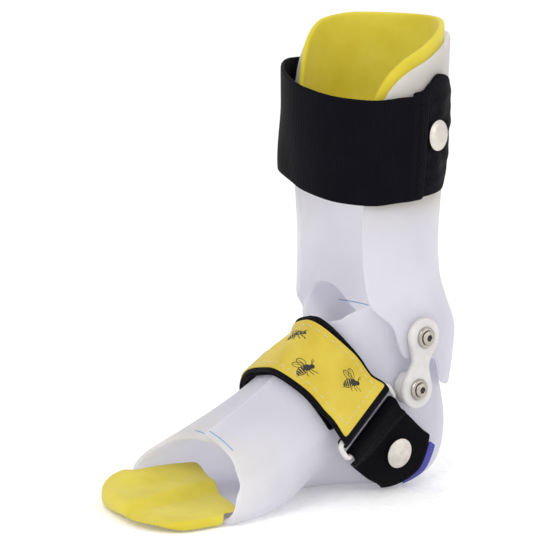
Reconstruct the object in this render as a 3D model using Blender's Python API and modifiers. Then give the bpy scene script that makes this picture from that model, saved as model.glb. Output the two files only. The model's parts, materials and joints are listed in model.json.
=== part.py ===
"""Child's hinged ankle foot orthosis (right foot).

Frame: metres, toes along -Y, heel along +Y, medial side +X, up +Z.
The origin is on the flat sole under the ankle.  Lengths below are in millimetres.
"""
import math

import bmesh
import bpy
import numpy as np
from mathutils import Matrix, Vector
from mathutils.bvhtree import BVHTree

MM = 0.001

# ---------------------------------------------------------------- driving dimensions (mm)
SHELL_T = 2.6             # thermoplastic wall
GAP = 0.3                 # clearance between neighbours
FLAP_LIFT = SHELL_T + GAP  # medial instep flap lies over the lateral one
FLAP_EDGE = 442.0         # free edge of the medial flap, degrees round the foot
TUCK_EDGE = 58.0          # free edge of the lateral flap
PIVOT_Y = -40.0           # bend centre of the instep, side view
PIVOT_Z = 84.0
CORNER = 12.0             # squareness of the heel corner
ARCH_RISE = 10.5
ARCH_Y = -39.0
ARCH_SPAN = 27.0
HINGE_Y = 6.5             # ankle axis
HINGE_Z = 64.0
SCREW_Y = (4.6, 8.4)      # lower and upper screw
SCREW_Z = (51.4, 76.6)
CALF_FLAT_X = 36.2        # flat joint seat on the calf shell
FOOT_FLAT_X = 30.0        # flat joint seat on the foot shell
FLEX_T = 3.2
FLEX_R = 9.5
FLEX_NECK = 5.2
FOAM_T = 3.0
CALF_STRAP_W = 50.0
CALF_STRAP_T = 1.8
TAB_T = 2.0
HOOK_T = 1.2
INSTEP_W = 38.0
STRAP_T = 1.5
COVER_T = 0.8
RING_WIRE = 1.3           # half thickness of the ring bar
RING_H = 5.3              # ring centre above the shell
RING_PITCH = 8.6          # distance between the ring's long bars
RING_SPARE = 2.4          # ring longer than the webbing is wide, at each end
CAP_R = 7.5
STRAP_CLEAR = 0.25        # least height of a strap above the floor

# height of the instep ridge by y, and side-view outlines
RIDGE = [(-150, 22), (-125, 25), (-110, 29), (-95, 36), (-75, 46), (-58, 56), (-40, 69.5)]
SOLE = [(-152, 3), (-140, 1), (-125, 0), (-105, 0), (-40, 0)]
BEND = [(0, 14.5), (10, 12.9), (20, 12.1), (30, 11.7), (45, 11.7), (60, 12.1), (75, 12.3), (90, 12.5)]
BACK = [(0, 40), (8, 42), (18, 44), (28, 44.5), (40, 43), (50, 41), (60, 39.5), (80, 38), (110, 38)]
# half widths along the foot, by station
MEDIAL = [(-110, 40), (-85, 43), (-65, 43), (-45, 40.5), (-20, 36), (0, 32), (30, 29.5),
          (60, 28.8), (90, 28.4), (110, 28.4)]
LATERAL = [(-110, 38), (-85, 39.5), (-65, 39), (-45, 38), (-20, 36), (0, 33), (30, 30),
           (60, 28.8), (90, 28.4), (110, 28.4)]
# trim lines of the foot shell: station by angle round the foot
TRIM_TOE = [(58, -57), (90, -58), (130, -60), (150, -64), (180, -68), (200, -70.5), (230, -71.3),
            (300, -71.3), (340, -70.5), (360, -68), (378, -64), (397, -62), (415, -60), (442, -58)]
TRIM_TOP = [(58, 66), (90, 73), (105, 84), (125, 92), (150, 98), (168, 101.5), (180, 99),
            (192, 91), (205, 83.5), (222, 76.5), (240, 73), (255, 72), (285, 72), (300, 73),
            (318, 76.5), (335, 83.5), (348, 91), (360, 99), (372, 101.5), (390, 98), (412, 93),
            (428, 86), (437, 79), (442, 70)]
# calf shell: half width, back and front by height
CALF_HALF = [(44, 35.5), (60, 36), (75, 36), (90, 34.5), (105, 33), (120, 33), (150, 35),
             (180, 37), (228, 38)]
CALF_BACK = [(44, 43.5), (50, 44.8), (60, 47), (77, 49.5), (90, 45.3), (105, 40.5), (120, 39.3),
             (150, 40), (180, 41), (228, 42)]
CALF_FRONT = [(44, -26), (75, -28), (90, -28.5), (105, -29), (120, -30), (150, -32),
              (180, -34), (228, -35)]
CALF_Y = 3.0
CALF_SQUARE = [(44, 2.7), (80, 2.5), (100, 2.25), (120, 2.15)]   # squareness in plan by height
# trim lines of the calf shell: height by angle from the back, medial positive
CALF_TOP = [(-131, 148), (-129, 163), (-125, 180), (-118, 197), (-110, 208), (-101, 215.5),
            (-90, 220), (-60, 222), (0, 222), (35, 221), (56, 217), (84, 209), (100, 203.5),
            (110, 198), (118, 190), (125, 176), (129, 161), (131, 148)]
CALF_LOW = [(-131, 112), (-129, 98), (-122, 91), (-112, 87), (-103, 82), (-98, 72), (-93, 67.2),
            (-85, 66), (-77, 66), (-71, 64), (-66, 57), (-58, 52), (-40, 50), (0, 49.5), (40, 50),
            (58, 52), (66, 57), (71, 64), (77, 66), (85, 66), (93, 67.2), (98, 72), (103, 82),
            (112, 87), (122, 91), (129, 98), (131, 112)]


# ---------------------------------------------------------------- small maths
def curve(table, t):
    """Smooth interpolation through (x, value) pairs, held beyond the ends."""
    p = np.asarray(table, float)
    x, y = p[:, 0], p[:, 1]
    d = np.diff(y) / np.diff(x)
    m = np.zeros(len(x))
    m[0], m[-1] = d[0], d[-1]
    same = d[:-1] * d[1:] > 0
    m[1:-1] = np.where(same, 2 * d[:-1] * d[1:] / np.where(same, d[:-1] + d[1:], 1.0), 0.0)
    t = np.clip(np.asarray(t, float), x[0], x[-1])
    i = np.clip(np.searchsorted(x, t, side="right") - 1, 0, len(x) - 2)
    h = x[i + 1] - x[i]
    s = (t - x[i]) / h
    a = (2 * s ** 3 - 3 * s ** 2 + 1) * y[i] + (s ** 3 - 2 * s ** 2 + s) * h * m[i]
    return a + (-2 * s ** 3 + 3 * s ** 2) * y[i + 1] + (s ** 3 - s ** 2) * h * m[i + 1]


def ease(lo, hi, x):
    t = np.clip((np.asarray(x, float) - lo) / (hi - lo), 0.0, 1.0)
    return t * t * (3 - 2 * t)


def stations(s):
    """Section planes: parallel along the forefoot, fanned round the bend, level above it."""
    ang = np.radians(np.clip(s, 0, 90))
    return PIVOT_Y + np.minimum(s, 0), PIVOT_Z + np.maximum(s - 90, 0), np.sin(ang), -np.cos(ang)


def sole_reach(s):
    """Distance from the bend centre to the sole, the heel corner and the back."""
    y0, z0, dy, dz = stations(s)
    r = np.full(np.shape(s), PIVOT_Z)
    for _ in range(14):
        back = curve(BACK, np.clip(z0 + r * dz, 0, 110)) - y0
        r = ((np.maximum(dy, 1e-6) / back) ** CORNER
             + (np.maximum(-dz, 1e-6) / (PIVOT_Z + 1.0)) ** CORNER) ** (-1 / CORNER)
    return r


def foot_surface(s, w, off=0.0):
    """Point on the foot form.  w: 90 instep, 180 lateral, 270 sole, 360 medial."""
    s, w, off = np.broadcast_arrays(np.asarray(s, float), np.asarray(w, float), off)
    y0, z0, dy, dz = stations(s)
    y_sec = PIVOT_Y + np.minimum(s, 0)
    near = np.where(s < 0, PIVOT_Z - curve(RIDGE, y_sec), curve(BEND, s))
    far = np.where(s < 0, PIVOT_Z + 1.0 - curve(SOLE, y_sec), sole_reach(s))
    c, n = np.cos(np.radians(w)), np.sin(np.radians(w))
    half = np.where(c > 0, curve(MEDIAL, s), curve(LATERAL, s)) + off
    k_up = np.interp(s, [-110, -40, 0, 45, 75, 90], [1.8, 1.75, 1.65, 1.7, 2.0, 2.2])
    k_lo = np.interp(s, [-110, -60, -20, 0, 30, 50, 75, 90], [6.5, 6, 4.6, 4, 3.8, 3.2, 2.4, 2.3])
    k = np.where(n > 0, k_up, k_lo)
    mid = near + (far - near) * np.interp(s, [-110, 0, 90], [0.55, 0.5, 0.5])
    reach = np.where(n > 0, mid - near, far - mid) + off
    x = half * np.sign(c) * np.abs(c) ** (2 / k)
    r = mid - reach * np.sign(n) * np.abs(n) ** (2 / k)
    y = y0 + r * dy
    z = np.maximum(z0 + r * dz, np.maximum(-off, 0.0))
    arch = ARCH_RISE * np.exp(-((y - ARCH_Y) / ARCH_SPAN) ** 2) * ease(2, 26, x) * ease(40, 4, z)
    z = z + arch
    x = x - 0.4 * arch
    # flat seats for the joint spacers
    rho = np.hypot(y - SCREW_Y[0], z - SCREW_Z[0])
    seat = ease(19, 10, rho) * (np.abs(x) > 15)
    x = x + (np.sign(x) * (FOOT_FLAT_X + off) - x) * seat
    return np.stack([x, y, z], -1)


def calf_surface(th, z, off=0.0):
    """Point on the calf form.  th: degrees from the back, medial positive."""
    th, z, off = np.broadcast_arrays(np.asarray(th, float), np.asarray(z, float), off)
    c, n = np.cos(np.radians(th)), np.sin(np.radians(th))
    half = curve(CALF_HALF, z) + off
    depth = np.where(c > 0, curve(CALF_BACK, z) - CALF_Y, CALF_Y - curve(CALF_FRONT, z)) + off
    k = curve(CALF_SQUARE, z)
    x = half * np.sign(n) * np.abs(n) ** (2 / k)
    y = CALF_Y + depth * np.sign(c) * np.abs(c) ** (2 / k)
    rho = np.hypot(y - SCREW_Y[1], z - np.clip(z, 62, SCREW_Z[1]))
    seat = ease(20, 11, rho) * (np.abs(x) > 15)
    x = x + (np.sign(x) * (CALF_FLAT_X + off) - x) * seat
    return np.stack([x, y, z], -1)


# ---------------------------------------------------------------- mesh makers
def new_object(name, bm, smooth=True):
    bmesh.ops.remove_doubles(bm, verts=bm.verts[:], dist=1e-6)
    bmesh.ops.recalc_face_normals(bm, faces=bm.faces[:])
    if bm.calc_volume(signed=True) < 0:
        bmesh.ops.reverse_faces(bm, faces=bm.faces[:])
    mesh = bpy.data.meshes.new(name)
    bm.to_mesh(mesh)
    bm.free()
    for poly in mesh.polygons:
        poly.use_smooth = smooth
    ob = bpy.data.objects.new(name, mesh)
    PARTS.objects.link(ob)
    return ob


def material(ob, colour, rough=0.5, metal=0.0, through=0.0):
    mat = bpy.data.materials.new(ob.name + "_material")
    mat.use_nodes = True
    node = mat.node_tree.nodes["Principled BSDF"]
    node.inputs["Base Color"].default_value = (*colour, 1.0)
    node.inputs["Roughness"].default_value = rough
    node.inputs["Metallic"].default_value = metal
    node.inputs["Transmission Weight"].default_value = through
    mat.diffuse_color = (*colour, 1.0)
    ob.data.materials.append(mat)
    return ob


def sheet(name, outer, inner, swell=0.3):
    """Closed wall between two matching grids, with a half-round edge."""
    nu, nv = outer.shape[:2]
    bm = bmesh.new()
    top = [[bm.verts.new(outer[i, j] * MM) for j in range(nv)] for i in range(nu)]
    low = [[bm.verts.new(inner[i, j] * MM) for j in range(nv)] for i in range(nu)]
    for i in range(nu - 1):
        for j in range(nv - 1):
            bm.faces.new((top[i][j], top[i + 1][j], top[i + 1][j + 1], top[i][j + 1]))
            bm.faces.new((low[i][j], low[i][j + 1], low[i + 1][j + 1], low[i + 1][j]))
    ring = [(i, 0) for i in range(nu)] + [(nu - 1, j) for j in range(1, nv)]
    ring += [(i, nv - 1) for i in range(nu - 2, -1, -1)] + [(0, j) for j in range(nv - 2, 0, -1)]
    mids = []
    for i, j in ring:
        ii = min(max(i, 1), nu - 2)
        jj = min(max(j, 1), nv - 2)
        away = outer[i, j] - outer[ii, jj]
        away = away / max(np.linalg.norm(away), 1e-9)
        thick = np.linalg.norm(outer[i, j] - inner[i, j])
        mids.append(bm.verts.new((0.5 * (outer[i, j] + inner[i, j]) + away * swell * thick) * MM))
    for k, (i, j) in enumerate(ring):
        m = (k + 1) % len(ring)
        a, b = ring[m]
        bm.faces.new((top[i][j], mids[k], mids[m], top[a][b]))
        bm.faces.new((mids[k], low[i][j], low[a][b], mids[m]))
    return new_object(name, bm)


def turned(name, profile, origin, axis, segments=18):
    """Turned part.  profile: (radius, height) pairs that run down its outer side."""
    ring = profile[0][0] > 0
    mesh = bpy.data.meshes.new(name)
    edges = [(k, k + 1) for k in range(len(profile) - 1)]
    if ring:
        edges.append((len(profile) - 1, 0))
    mesh.from_pydata([(r * MM, 0.0, h * MM) for r, h in profile], edges, [])
    ob = bpy.data.objects.new(name, mesh)
    PARTS.objects.link(ob)
    ob.location = Vector(origin) * MM
    ob.rotation_euler = Vector(axis).to_track_quat("Z", "Y").to_euler()
    spin = ob.modifiers.new("turn", "SCREW")
    spin.steps = spin.render_steps = segments
    spin.use_merge_vertices = True
    spin.merge_threshold = 1e-5
    spin.use_smooth_shade = True
    return ob


def cut(target, cutter):
    for col in list(cutter.users_collection):
        col.objects.unlink(cutter)
    CUTTERS.objects.link(cutter)
    cutter.hide_render = True
    cutter.display_type = "WIRE"
    mod = target.modifiers.new("cut_" + cutter.name, "BOOLEAN")
    mod.operation = "DIFFERENCE"
    mod.solver = "EXACT"
    mod.object = cutter


def hole(target, origin, axis, radius, start, end, segments=16):
    """Drill target from start to end along the axis."""
    name = "cutter_" + target.name + "_" + str(len(CUTTERS.objects))
    profile = [(0, end), (radius, end), (radius, start), (0, start)]
    cut(target, turned(name, profile, origin, axis, segments))


# ---------------------------------------------------------------- instep strap surface
STRAP_C = np.array([0.0, -14.0, 40.0])      # a point inside the foot
STRAP_E1 = np.array([0.0, 0.797, 0.604])    # across the strap
STRAP_E2 = np.array([0.0, -0.604, 0.797])   # up through the instep
STRAP_E3 = np.array([1.0, 0.0, 0.0])
STRAP_SHIFT = [(-75, 9), (-60, 6), (-41, -1.5), (0, -9), (15, -10), (60, -6), (90, -4),
               (140, -5), (175, -8.5), (195, -8.5), (225, -3), (255, 3)]


def lift(w):
    return FLAP_LIFT * ease(385, 410, w)


def foot_tree():
    s = np.linspace(-73, 103, 90)
    w = np.linspace(TUCK_EDGE, FLAP_EDGE, 150)
    sg, wg = np.meshgrid(s, w, indexing="ij")
    pts = foot_surface(sg, wg, lift(wg))
    verts = [Vector(p) for p in pts.reshape(-1, 3)]
    nw = len(w)
    faces = [(i * nw + j, (i + 1) * nw + j, (i + 1) * nw + j + 1, i * nw + j + 1)
             for i in range(len(s) - 1) for j in range(nw - 1)]
    return BVHTree.FromPolygons(verts, faces)


def bridged(ang, r):
    """Radii of the taut loop round a section: its convex outline."""
    pts = [(x * math.cos(math.radians(a)), x * math.sin(math.radians(a))) for a, x in zip(ang, r)]
    order = sorted(pts)
    hull = []
    for run in (order, order[::-1]):
        part = []
        for p in run:
            while len(part) > 1 and ((part[-1][0] - part[-2][0]) * (p[1] - part[-2][1])
                                     - (part[-1][1] - part[-2][1]) * (p[0] - part[-2][0])) <= 0:
                part.pop()
            part.append(p)
        hull += part[:-1]
    out = []
    for a, x in zip(ang, r):
        ca, sa = math.cos(math.radians(a)), math.sin(math.radians(a))
        best = x
        for k in range(len(hull)):
            (x0, y0), (x1, y1) = hull[k - 1], hull[k]
            d0 = ca * y0 - sa * x0
            d1 = ca * y1 - sa * x1
            if d0 * d1 <= 0 and d0 != d1:
                f = d0 / (d0 - d1)
                best = max(best, ca * (x0 + f * (x1 - x0)) + sa * (y0 + f * (y1 - y0)))
        out.append(best)
    return np.array(out)


class StrapSurface:
    """Instep strap coordinates: t along the strap, q across it, h above the shell (mm)."""

    def __init__(self):
        tree = foot_tree()
        ang = np.arange(-100.0, 260.0, 3.0)
        self.q = np.linspace(-22.0, 22.0, 9)
        grid = np.zeros((len(ang), len(self.q), 3))
        rays = np.cos(np.radians(ang))[:, None] * STRAP_E3 + np.sin(np.radians(ang))[:, None] * STRAP_E2
        mid = curve(STRAP_SHIFT, ang)
        for j, q in enumerate(self.q):
            reach = []
            for ray, m in zip(rays, mid):
                base = STRAP_C + STRAP_E1 * (q + m)
                hit = tree.ray_cast(Vector(base + ray * 90.0), Vector(-ray))
                reach.append(90.0 - hit[3] if hit[0] is not None else 20.0)
            reach = bridged(ang, reach)
            grid[:, j] = STRAP_C + STRAP_E1 * (q + mid[:, None]) + rays * reach[:, None]
        grid[1:-1] = 0.25 * grid[:-2] + 0.5 * grid[1:-1] + 0.25 * grid[2:]
        self.ang = ang
        self.p = grid
        n = np.cross(np.gradient(grid, axis=1), np.gradient(grid, axis=0))
        n /= np.linalg.norm(n, axis=-1, keepdims=True)
        if np.sum(n[40, 4] * (grid[40, 4] - STRAP_C)) < 0:
            n = -n
        self.n = n
        step = np.linalg.norm(np.diff(grid[:, 4], axis=0), axis=-1)
        self.t = np.concatenate([[0.0], np.cumsum(step)])
        self.flat = None

    def flatten_at(self, t_mid, height):
        """Straps lie flat where they turn round the ring."""
        self.flat = (t_mid, height) + frame_at(self, t_mid, 0.0, height)

    def at_angle(self, a):
        """Arc length at an angle round the foot."""
        return float(np.interp(a, self.ang, self.t))

    def point(self, t, q, h):
        t, q, h = np.broadcast_arrays(np.asarray(t, float), np.asarray(q, float), h)
        fi = np.interp(t, self.t, np.arange(len(self.t)))
        fj = np.interp(q, self.q, np.arange(len(self.q)))
        i = np.clip(fi.astype(int), 0, len(self.t) - 2)
        j = np.clip(fj.astype(int), 0, len(self.q) - 2)
        u = (fi - i)[..., None]
        v = (fj - j)[..., None]

        def mix(g):
            return ((1 - u) * (1 - v) * g[i, j] + u * (1 - v) * g[i + 1, j]
                    + (1 - u) * v * g[i, j + 1] + u * v * g[i + 1, j + 1])

        n = mix(self.n)
        n = n / np.linalg.norm(n, axis=-1, keepdims=True)
        found = mix(self.p) + n * np.asarray(h)[..., None]
        if self.flat is None:
            return found
        t_mid, height, p, along, across, out = self.flat
        level = p + (t - t_mid)[..., None] * along + q[..., None] * across \
            + (h - height)[..., None] * out
        near = ease(14, 7.5, np.abs(t - t_mid))[..., None]
        return found + (level - found) * near


def off_floor(points):
    """Keep strap ends that wrap under the foot above the floor."""
    points[..., 2] = np.maximum(points[..., 2], STRAP_CLEAR)
    return points


def ribbon(name, surf, path, thick, q):
    """Strip of webbing: centre path of (t, h) pairs swept across its width."""
    path = np.asarray(path, float)
    tan = np.gradient(path, axis=0)
    tan /= np.linalg.norm(tan, axis=1, keepdims=True)
    nor = np.stack([-tan[:, 1], tan[:, 0]], 1)
    q = np.asarray(q, float)
    one = path + nor * thick / 2
    two = path - nor * thick / 2
    outer = off_floor(surf.point(one[:, 0][:, None], q[None, :], one[:, 1][:, None]))
    inner = off_floor(surf.point(two[:, 0][:, None], q[None, :], two[:, 1][:, None]))
    return sheet(name, outer, inner, swell=0.15)


def frame_at(surf, t, q, h):
    """Point and axes on the strap: along, across, outward."""
    p = surf.point(t, q, h)
    along = surf.point(t + 1.5, q, h) - surf.point(t - 1.5, q, h)
    across = surf.point(t, q + 1.5, h) - surf.point(t, q - 1.5, h)
    along /= np.linalg.norm(along)
    out = np.cross(along, across)
    out /= np.linalg.norm(out)
    if np.dot(out, surf.point(t, q, h + 1) - p) < 0:
        out = -out
    across -= along * np.dot(across, along)
    across /= np.linalg.norm(across)
    return p, along, across, out


# ---------------------------------------------------------------- scene
for old in list(bpy.data.objects):
    bpy.data.objects.remove(old, do_unlink=True)
PARTS = bpy.data.collections.new("ankle_foot_orthosis")
CUTTERS = bpy.data.collections.new("cutters")
bpy.context.scene.collection.children.link(PARTS)
bpy.context.scene.collection.children.link(CUTTERS)

MILK = (0.80, 0.80, 0.84)
YELLOW = (0.83, 0.66, 0.10)
BLACK = (0.012, 0.012, 0.018)
STEEL = (0.62, 0.60, 0.58)
WHITE = (0.78, 0.77, 0.75)

# ---- foot shell
rows = np.concatenate([np.linspace(-71.3, -8, 9), np.linspace(0, 28, 4), np.linspace(34, 61, 8),
                       np.linspace(66, 103.5, 8)])
cols = np.concatenate([np.linspace(TUCK_EDGE, 150, 11), np.linspace(160, 225, 8),
                       np.linspace(234, 306, 7), np.linspace(315, 380, 8),
                       np.linspace(388, FLAP_EDGE, 9)])


def foot_stations(w):
    toe = curve(TRIM_TOE, w)[:, None]
    top = curve(TRIM_TOP, w)[:, None]
    r = rows[None, :]
    s = np.where(r < -50, -50 + (toe + 50) * (r + 50) / (-71.3 + 50), r)
    return np.where(r > 61, 61 + (top - 61) * (r - 61) / (103.5 - 61), s)


s_grid = foot_stations(cols)
w_grid = np.repeat(cols[:, None], len(rows), 1)
foot_shell = sheet("foot_shell", foot_surface(s_grid, w_grid, lift(w_grid)),
                   foot_surface(s_grid, w_grid, lift(w_grid) - SHELL_T))
material(foot_shell, MILK, 0.28, 0.0, 0.25)

# ---- toe pad: contoured foam that carries on inside the shell
PAD_MEDIAL = [(-148.4, 18), (-147.6, 24), (-146.2, 28.5), (-143, 33.5), (-138, 36.6), (-130, 38),
              (-120, 38.2), (-114.5, 38), (-113, 36.6), (-111.5, 36), (-100, 36), (-88, 34)]
PAD_LATERAL = [(-148.4, 12), (-147.6, 6), (-146.2, 0.5), (-143, -9), (-138, -21), (-134, -28),
               (-128, -34.5), (-120, -38.2), (-114.5, -38.5), (-113, -35.5), (-111.5, -34), (-100, -33),
               (-88, -30)]
pad_y = np.array([-148.4, -147.6, -146.2, -143.5, -139.5, -134, -128, -122, -117, -114.4, -112.9,
                  -107, -101, -95, -89.0])
pad_u = np.linspace(-1, 1, 15)


def pad_top(x, y):
    """Raised bed for the lesser toes, rolling up at the outer side; low shelf for the great toe."""
    bed = 9.6 + 1.4 * ease(-130, -100, y)
    z = bed + (5.9 - bed) * ease(-4, 13, x)
    wall = 3.4 * ease(-12, -34, x) * ease(-138, -114, y)
    return z + wall - 2.2 * ease(-136, -148.4, y)


pad_right = curve(PAD_MEDIAL, pad_y)[:, None]
pad_left = curve(PAD_LATERAL, pad_y)[:, None]
x_pad = pad_left + (pad_right - pad_left) * (pad_u[None, :] + 1) / 2
y_pad = np.repeat(pad_y[:, None], len(pad_u), 1) - 12.0 * pad_u[None, :] * ease(-110, -89, pad_y)[:, None]
inside = ease(-114.4, -112.9, y_pad)
z_low = 3.2 * ease(-134, -148.4, y_pad) ** 1.4 + inside * (SHELL_T + GAP + 0.5)
z_low = z_low + np.abs(pad_u)[None, :] ** 6 * (0.9 + 1.3 * inside)
z_top = pad_top(x_pad, y_pad) - 0.5 * np.abs(pad_u)[None, :] ** 12
toe_pad = sheet("toe_pad", np.stack([x_pad, y_pad, z_top], -1), np.stack([x_pad, y_pad, z_low], -1), 0.22)
material(toe_pad, YELLOW, 0.7)

# ---- calf shell and its foam liner
th_c = np.concatenate([np.linspace(-131, -117, 6), np.linspace(-111, -93, 4), np.linspace(-85, -63, 5),
                       np.linspace(-54, 54, 11), np.linspace(63, 85, 5), np.linspace(93, 111, 4),
                       np.linspace(117, 131, 6)])
z_v = np.concatenate([np.linspace(0, 0.24, 9), np.linspace(0.29, 1.0, 13)])
low_c = curve(CALF_LOW, th_c)[:, None]
top_c = curve(CALF_TOP, th_c)[:, None]
z_c = low_c + (top_c - low_c) * z_v[None, :]
t_c = np.repeat(th_c[:, None], len(z_v), 1)
calf_shell = sheet("calf_shell", calf_surface(t_c, z_c, 0.0), calf_surface(t_c, z_c, -SHELL_T))
material(calf_shell, MILK, 0.28, 0.0, 0.25)

LINER_TOP = [(-138, 156), (-135, 170), (-130, 186), (-122, 202), (-113, 213), (-103, 220.5),
             (-91, 225.5), (-60, 228), (0, 228), (35, 227), (56, 223), (84, 215), (100, 209.5),
             (112, 203.5), (122, 194.5), (130, 180), (135, 165), (138, 150)]
LINER_LOW = [(-138, 151), (-130, 155), (-60, 152), (0, 144), (60, 140), (120, 140), (130, 142),
             (138, 146)]
th_l = np.concatenate([np.linspace(-138, -124, 5), np.linspace(-117, 117, 25),
                       np.linspace(124, 138, 5)])
v_l = np.linspace(0, 1, 9)
low_l = curve(LINER_LOW, th_l)[:, None]
top_l = curve(LINER_TOP, th_l)[:, None]
z_l = low_l + (top_l - low_l) * v_l[None, :]
t_l = np.repeat(th_l[:, None], len(v_l), 1)
calf_liner = sheet("calf_liner", calf_surface(t_l, z_l, -SHELL_T - GAP),
                   calf_surface(t_l, z_l, -SHELL_T - GAP - FOAM_T), 0.3)
material(calf_liner, YELLOW, 0.75)

# ---- ankle joints: flexures, spacers, screws, cup washers and nuts
FLEX_IN = CALF_FLAT_X + GAP
FLEX_OUT = FLEX_IN + FLEX_T


def figure_eight():
    """Outline of the flexure about the ankle axis, upright: two round ends and a neck."""
    reach = math.hypot(SCREW_Y[1] - SCREW_Y[0], SCREW_Z[1] - SCREW_Z[0]) / 2
    pts = []
    for side in (1, -1):
        start = -38 if side > 0 else 142
        for k in range(17):
            a = math.radians(start + 256 * k / 16)
            pts.append((FLEX_R * math.cos(a), side * reach + FLEX_R * math.sin(a)))
        neck = -side * FLEX_NECK
        pts += [(neck * 1.12, 2.6 * side), (neck, 0.0), (neck * 1.12, -2.6 * side)]
    return pts


def flexure(name, sign):
    """Flat figure-of-eight plate with rounded edges, leaning with the line of its two screws."""
    lean = math.atan2(SCREW_Y[1] - SCREW_Y[0], SCREW_Z[1] - SCREW_Z[0])
    outline = bpy.data.curves.new(name, "CURVE")
    outline.dimensions = "2D"
    outline.fill_mode = "BOTH"
    outline.extrude = FLEX_T / 2 * MM
    pts = figure_eight()
    spline = outline.splines.new("POLY")
    spline.points.add(len(pts) - 1)
    for point, (y, z) in zip(spline.points, pts):
        point.co = (sign * (y * math.cos(lean) + z * math.sin(lean)) * MM,
                    (z * math.cos(lean) - y * math.sin(lean)) * MM, 0.0, 1.0)
    spline.use_cyclic_u = True
    flat = bpy.data.objects.new(name + "_outline", outline)
    PARTS.objects.link(flat)
    mesh = bpy.data.meshes.new_from_object(flat.evaluated_get(bpy.context.evaluated_depsgraph_get()))
    bpy.data.objects.remove(flat)
    bm = bmesh.new()
    bm.from_mesh(mesh)
    bpy.data.meshes.remove(mesh)
    ob = new_object(name, bm)
    ob.matrix_world = (Matrix.Translation(Vector((sign * (FLEX_IN + FLEX_OUT) / 2, HINGE_Y, HINGE_Z)) * MM)
                       @ Matrix(((0, 0, sign), (sign, 0, 0), (0, 1, 0))).to_4x4())
    rounded = ob.modifiers.new("rounded", "BEVEL")
    rounded.width = 0.7 * MM
    rounded.segments = 2
    rounded.limit_method = "ANGLE"
    rounded.angle_limit = math.radians(60)
    for y, z in zip(SCREW_Y, SCREW_Z):
        hole(ob, (0, y, z), (sign, 0, 0), 2.4, FLEX_IN - 1, FLEX_OUT + 1)
    return material(ob, WHITE, 0.4, 0.0, 0.15)


def cup_washer(name, origin, axis):
    profile = [(2.45, 0.85), (3.7, 1.45), (4.2, 1.5), (4.9, 1.0), (5.3, 0.35), (5.1, 0.0), (2.45, 0.0)]
    return material(turned(name, profile, origin, axis), STEEL, 0.25, 1.0)


def screw(name, origin, axis, length):
    profile = [(0, 2.95), (2.5, 2.9), (3.2, 2.6), (3.6, 2.0), (3.5, 1.75), (2.0, 1.75),
               (2.0, -length), (0, -length)]
    ob = turned(name, profile, origin, axis)
    cut(ob, turned("cutter_" + name, [(0, 4.5), (1.6, 4.5), (1.6, 1.6), (0, 1.6)], origin, axis, 6))
    return material(ob, STEEL, 0.22, 1.0)


def nut(name, origin, axis, outer):
    profile = [(2.35, outer), (6.0, outer), (6.0, outer - 1.1), (5.6, outer - 1.4), (2.35, outer - 1.4)]
    return material(turned(name, profile, origin, axis), STEEL, 0.3, 1.0)


def ankle_joint(label, sign):
    """Flexure, and at each screw a cup washer, screw and nut; a spacer fills the step to the foot."""
    axis = (sign, 0, 0)
    flexure("flexure_" + label, sign)
    face = FLEX_OUT + GAP
    seats = (("lower", foot_shell, FOOT_FLAT_X), ("upper", calf_shell, CALF_FLAT_X))
    for (level, shell, seat), y, z in zip(seats, SCREW_Y, SCREW_Z):
        nut_face = seat - SHELL_T - GAP
        cup_washer(level + "_washer_" + label, (sign * face, y, z), axis)
        screw(level + "_screw_" + label, (sign * face, y, z), axis, face - nut_face + 1.9)
        nut(level + "_nut_" + label, (0, y, z), axis, nut_face)
        hole(shell, (0, y, z), axis, 2.4, seat - 8, seat + 6)
    low, high = FOOT_FLAT_X + GAP, CALF_FLAT_X
    profile = [(2.45, high), (7.6, high), (8.0, high - 0.4), (8.0, low + 0.4), (7.6, low), (2.45, low)]
    spacer = turned("joint_spacer_" + label, profile, (0, SCREW_Y[0], SCREW_Z[0]), axis, 22)
    return material(spacer, WHITE, 0.45)


ankle_joint("medial", 1)
ankle_joint("lateral", -1)

# ---- instep strap set
SURF = StrapSurface()
T_BAR_A = SURF.at_angle(16.5)              # bar that carries the padded flap
T_BAR_B = T_BAR_A - RING_PITCH             # bar held by the riveted loop
SURF.flatten_at(0.5 * (T_BAR_A + T_BAR_B), RING_H)
HALF_W = INSTEP_W / 2
ACROSS = np.array([-19, -17.5, -12, -6, 0, 6, 12, 17.5, 19]) * HALF_W / 19
CURL = RING_WIRE + GAP + STRAP_T / 2


def curl_path(t_bar, side):
    """Three quarters round a ring bar, from under it to the top."""
    pts = []
    for k in range(9):
        a = math.radians(-100 + 190 * k / 8)
        pts.append((t_bar - side * CURL * math.cos(a), RING_H + CURL * math.sin(a)))
    return pts


t_end = SURF.at_angle(221)
LAY_1 = 1.25 + STRAP_T / 2                 # under strap, centre above the shell
LAY_2 = LAY_1 + STRAP_T + 0.35             # folded-back flap
nodes = np.linspace(T_BAR_A + 6.5, t_end + 11.0, 32)
instep_strap = ribbon("instep_strap", SURF, [(t, LAY_1) for t in nodes], STRAP_T, ACROSS)
material(instep_strap, BLACK, 0.85)

t_flap = SURF.at_angle(158)
flap_t = np.concatenate([[T_BAR_A + 3.2], nodes[nodes < t_flap]])
flap_h = LAY_2 + (RING_H + CURL - LAY_2) * ease(T_BAR_A + 16, T_BAR_A + 1.5, flap_t)
flap = curl_path(T_BAR_A, 1) + list(zip(flap_t, flap_h))
flap_backing = ribbon("flap_backing", SURF, flap, STRAP_T, ACROSS)
material(flap_backing, BLACK, 0.9)

cover = list(zip(flap_t[:-1], flap_h[:-1] + STRAP_T / 2 + 0.35 + COVER_T / 2))
flap_cover = ribbon("flap_cover", SURF, cover, COVER_T, ACROSS[1:-1])
material(flap_cover, YELLOW, 0.6)

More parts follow.
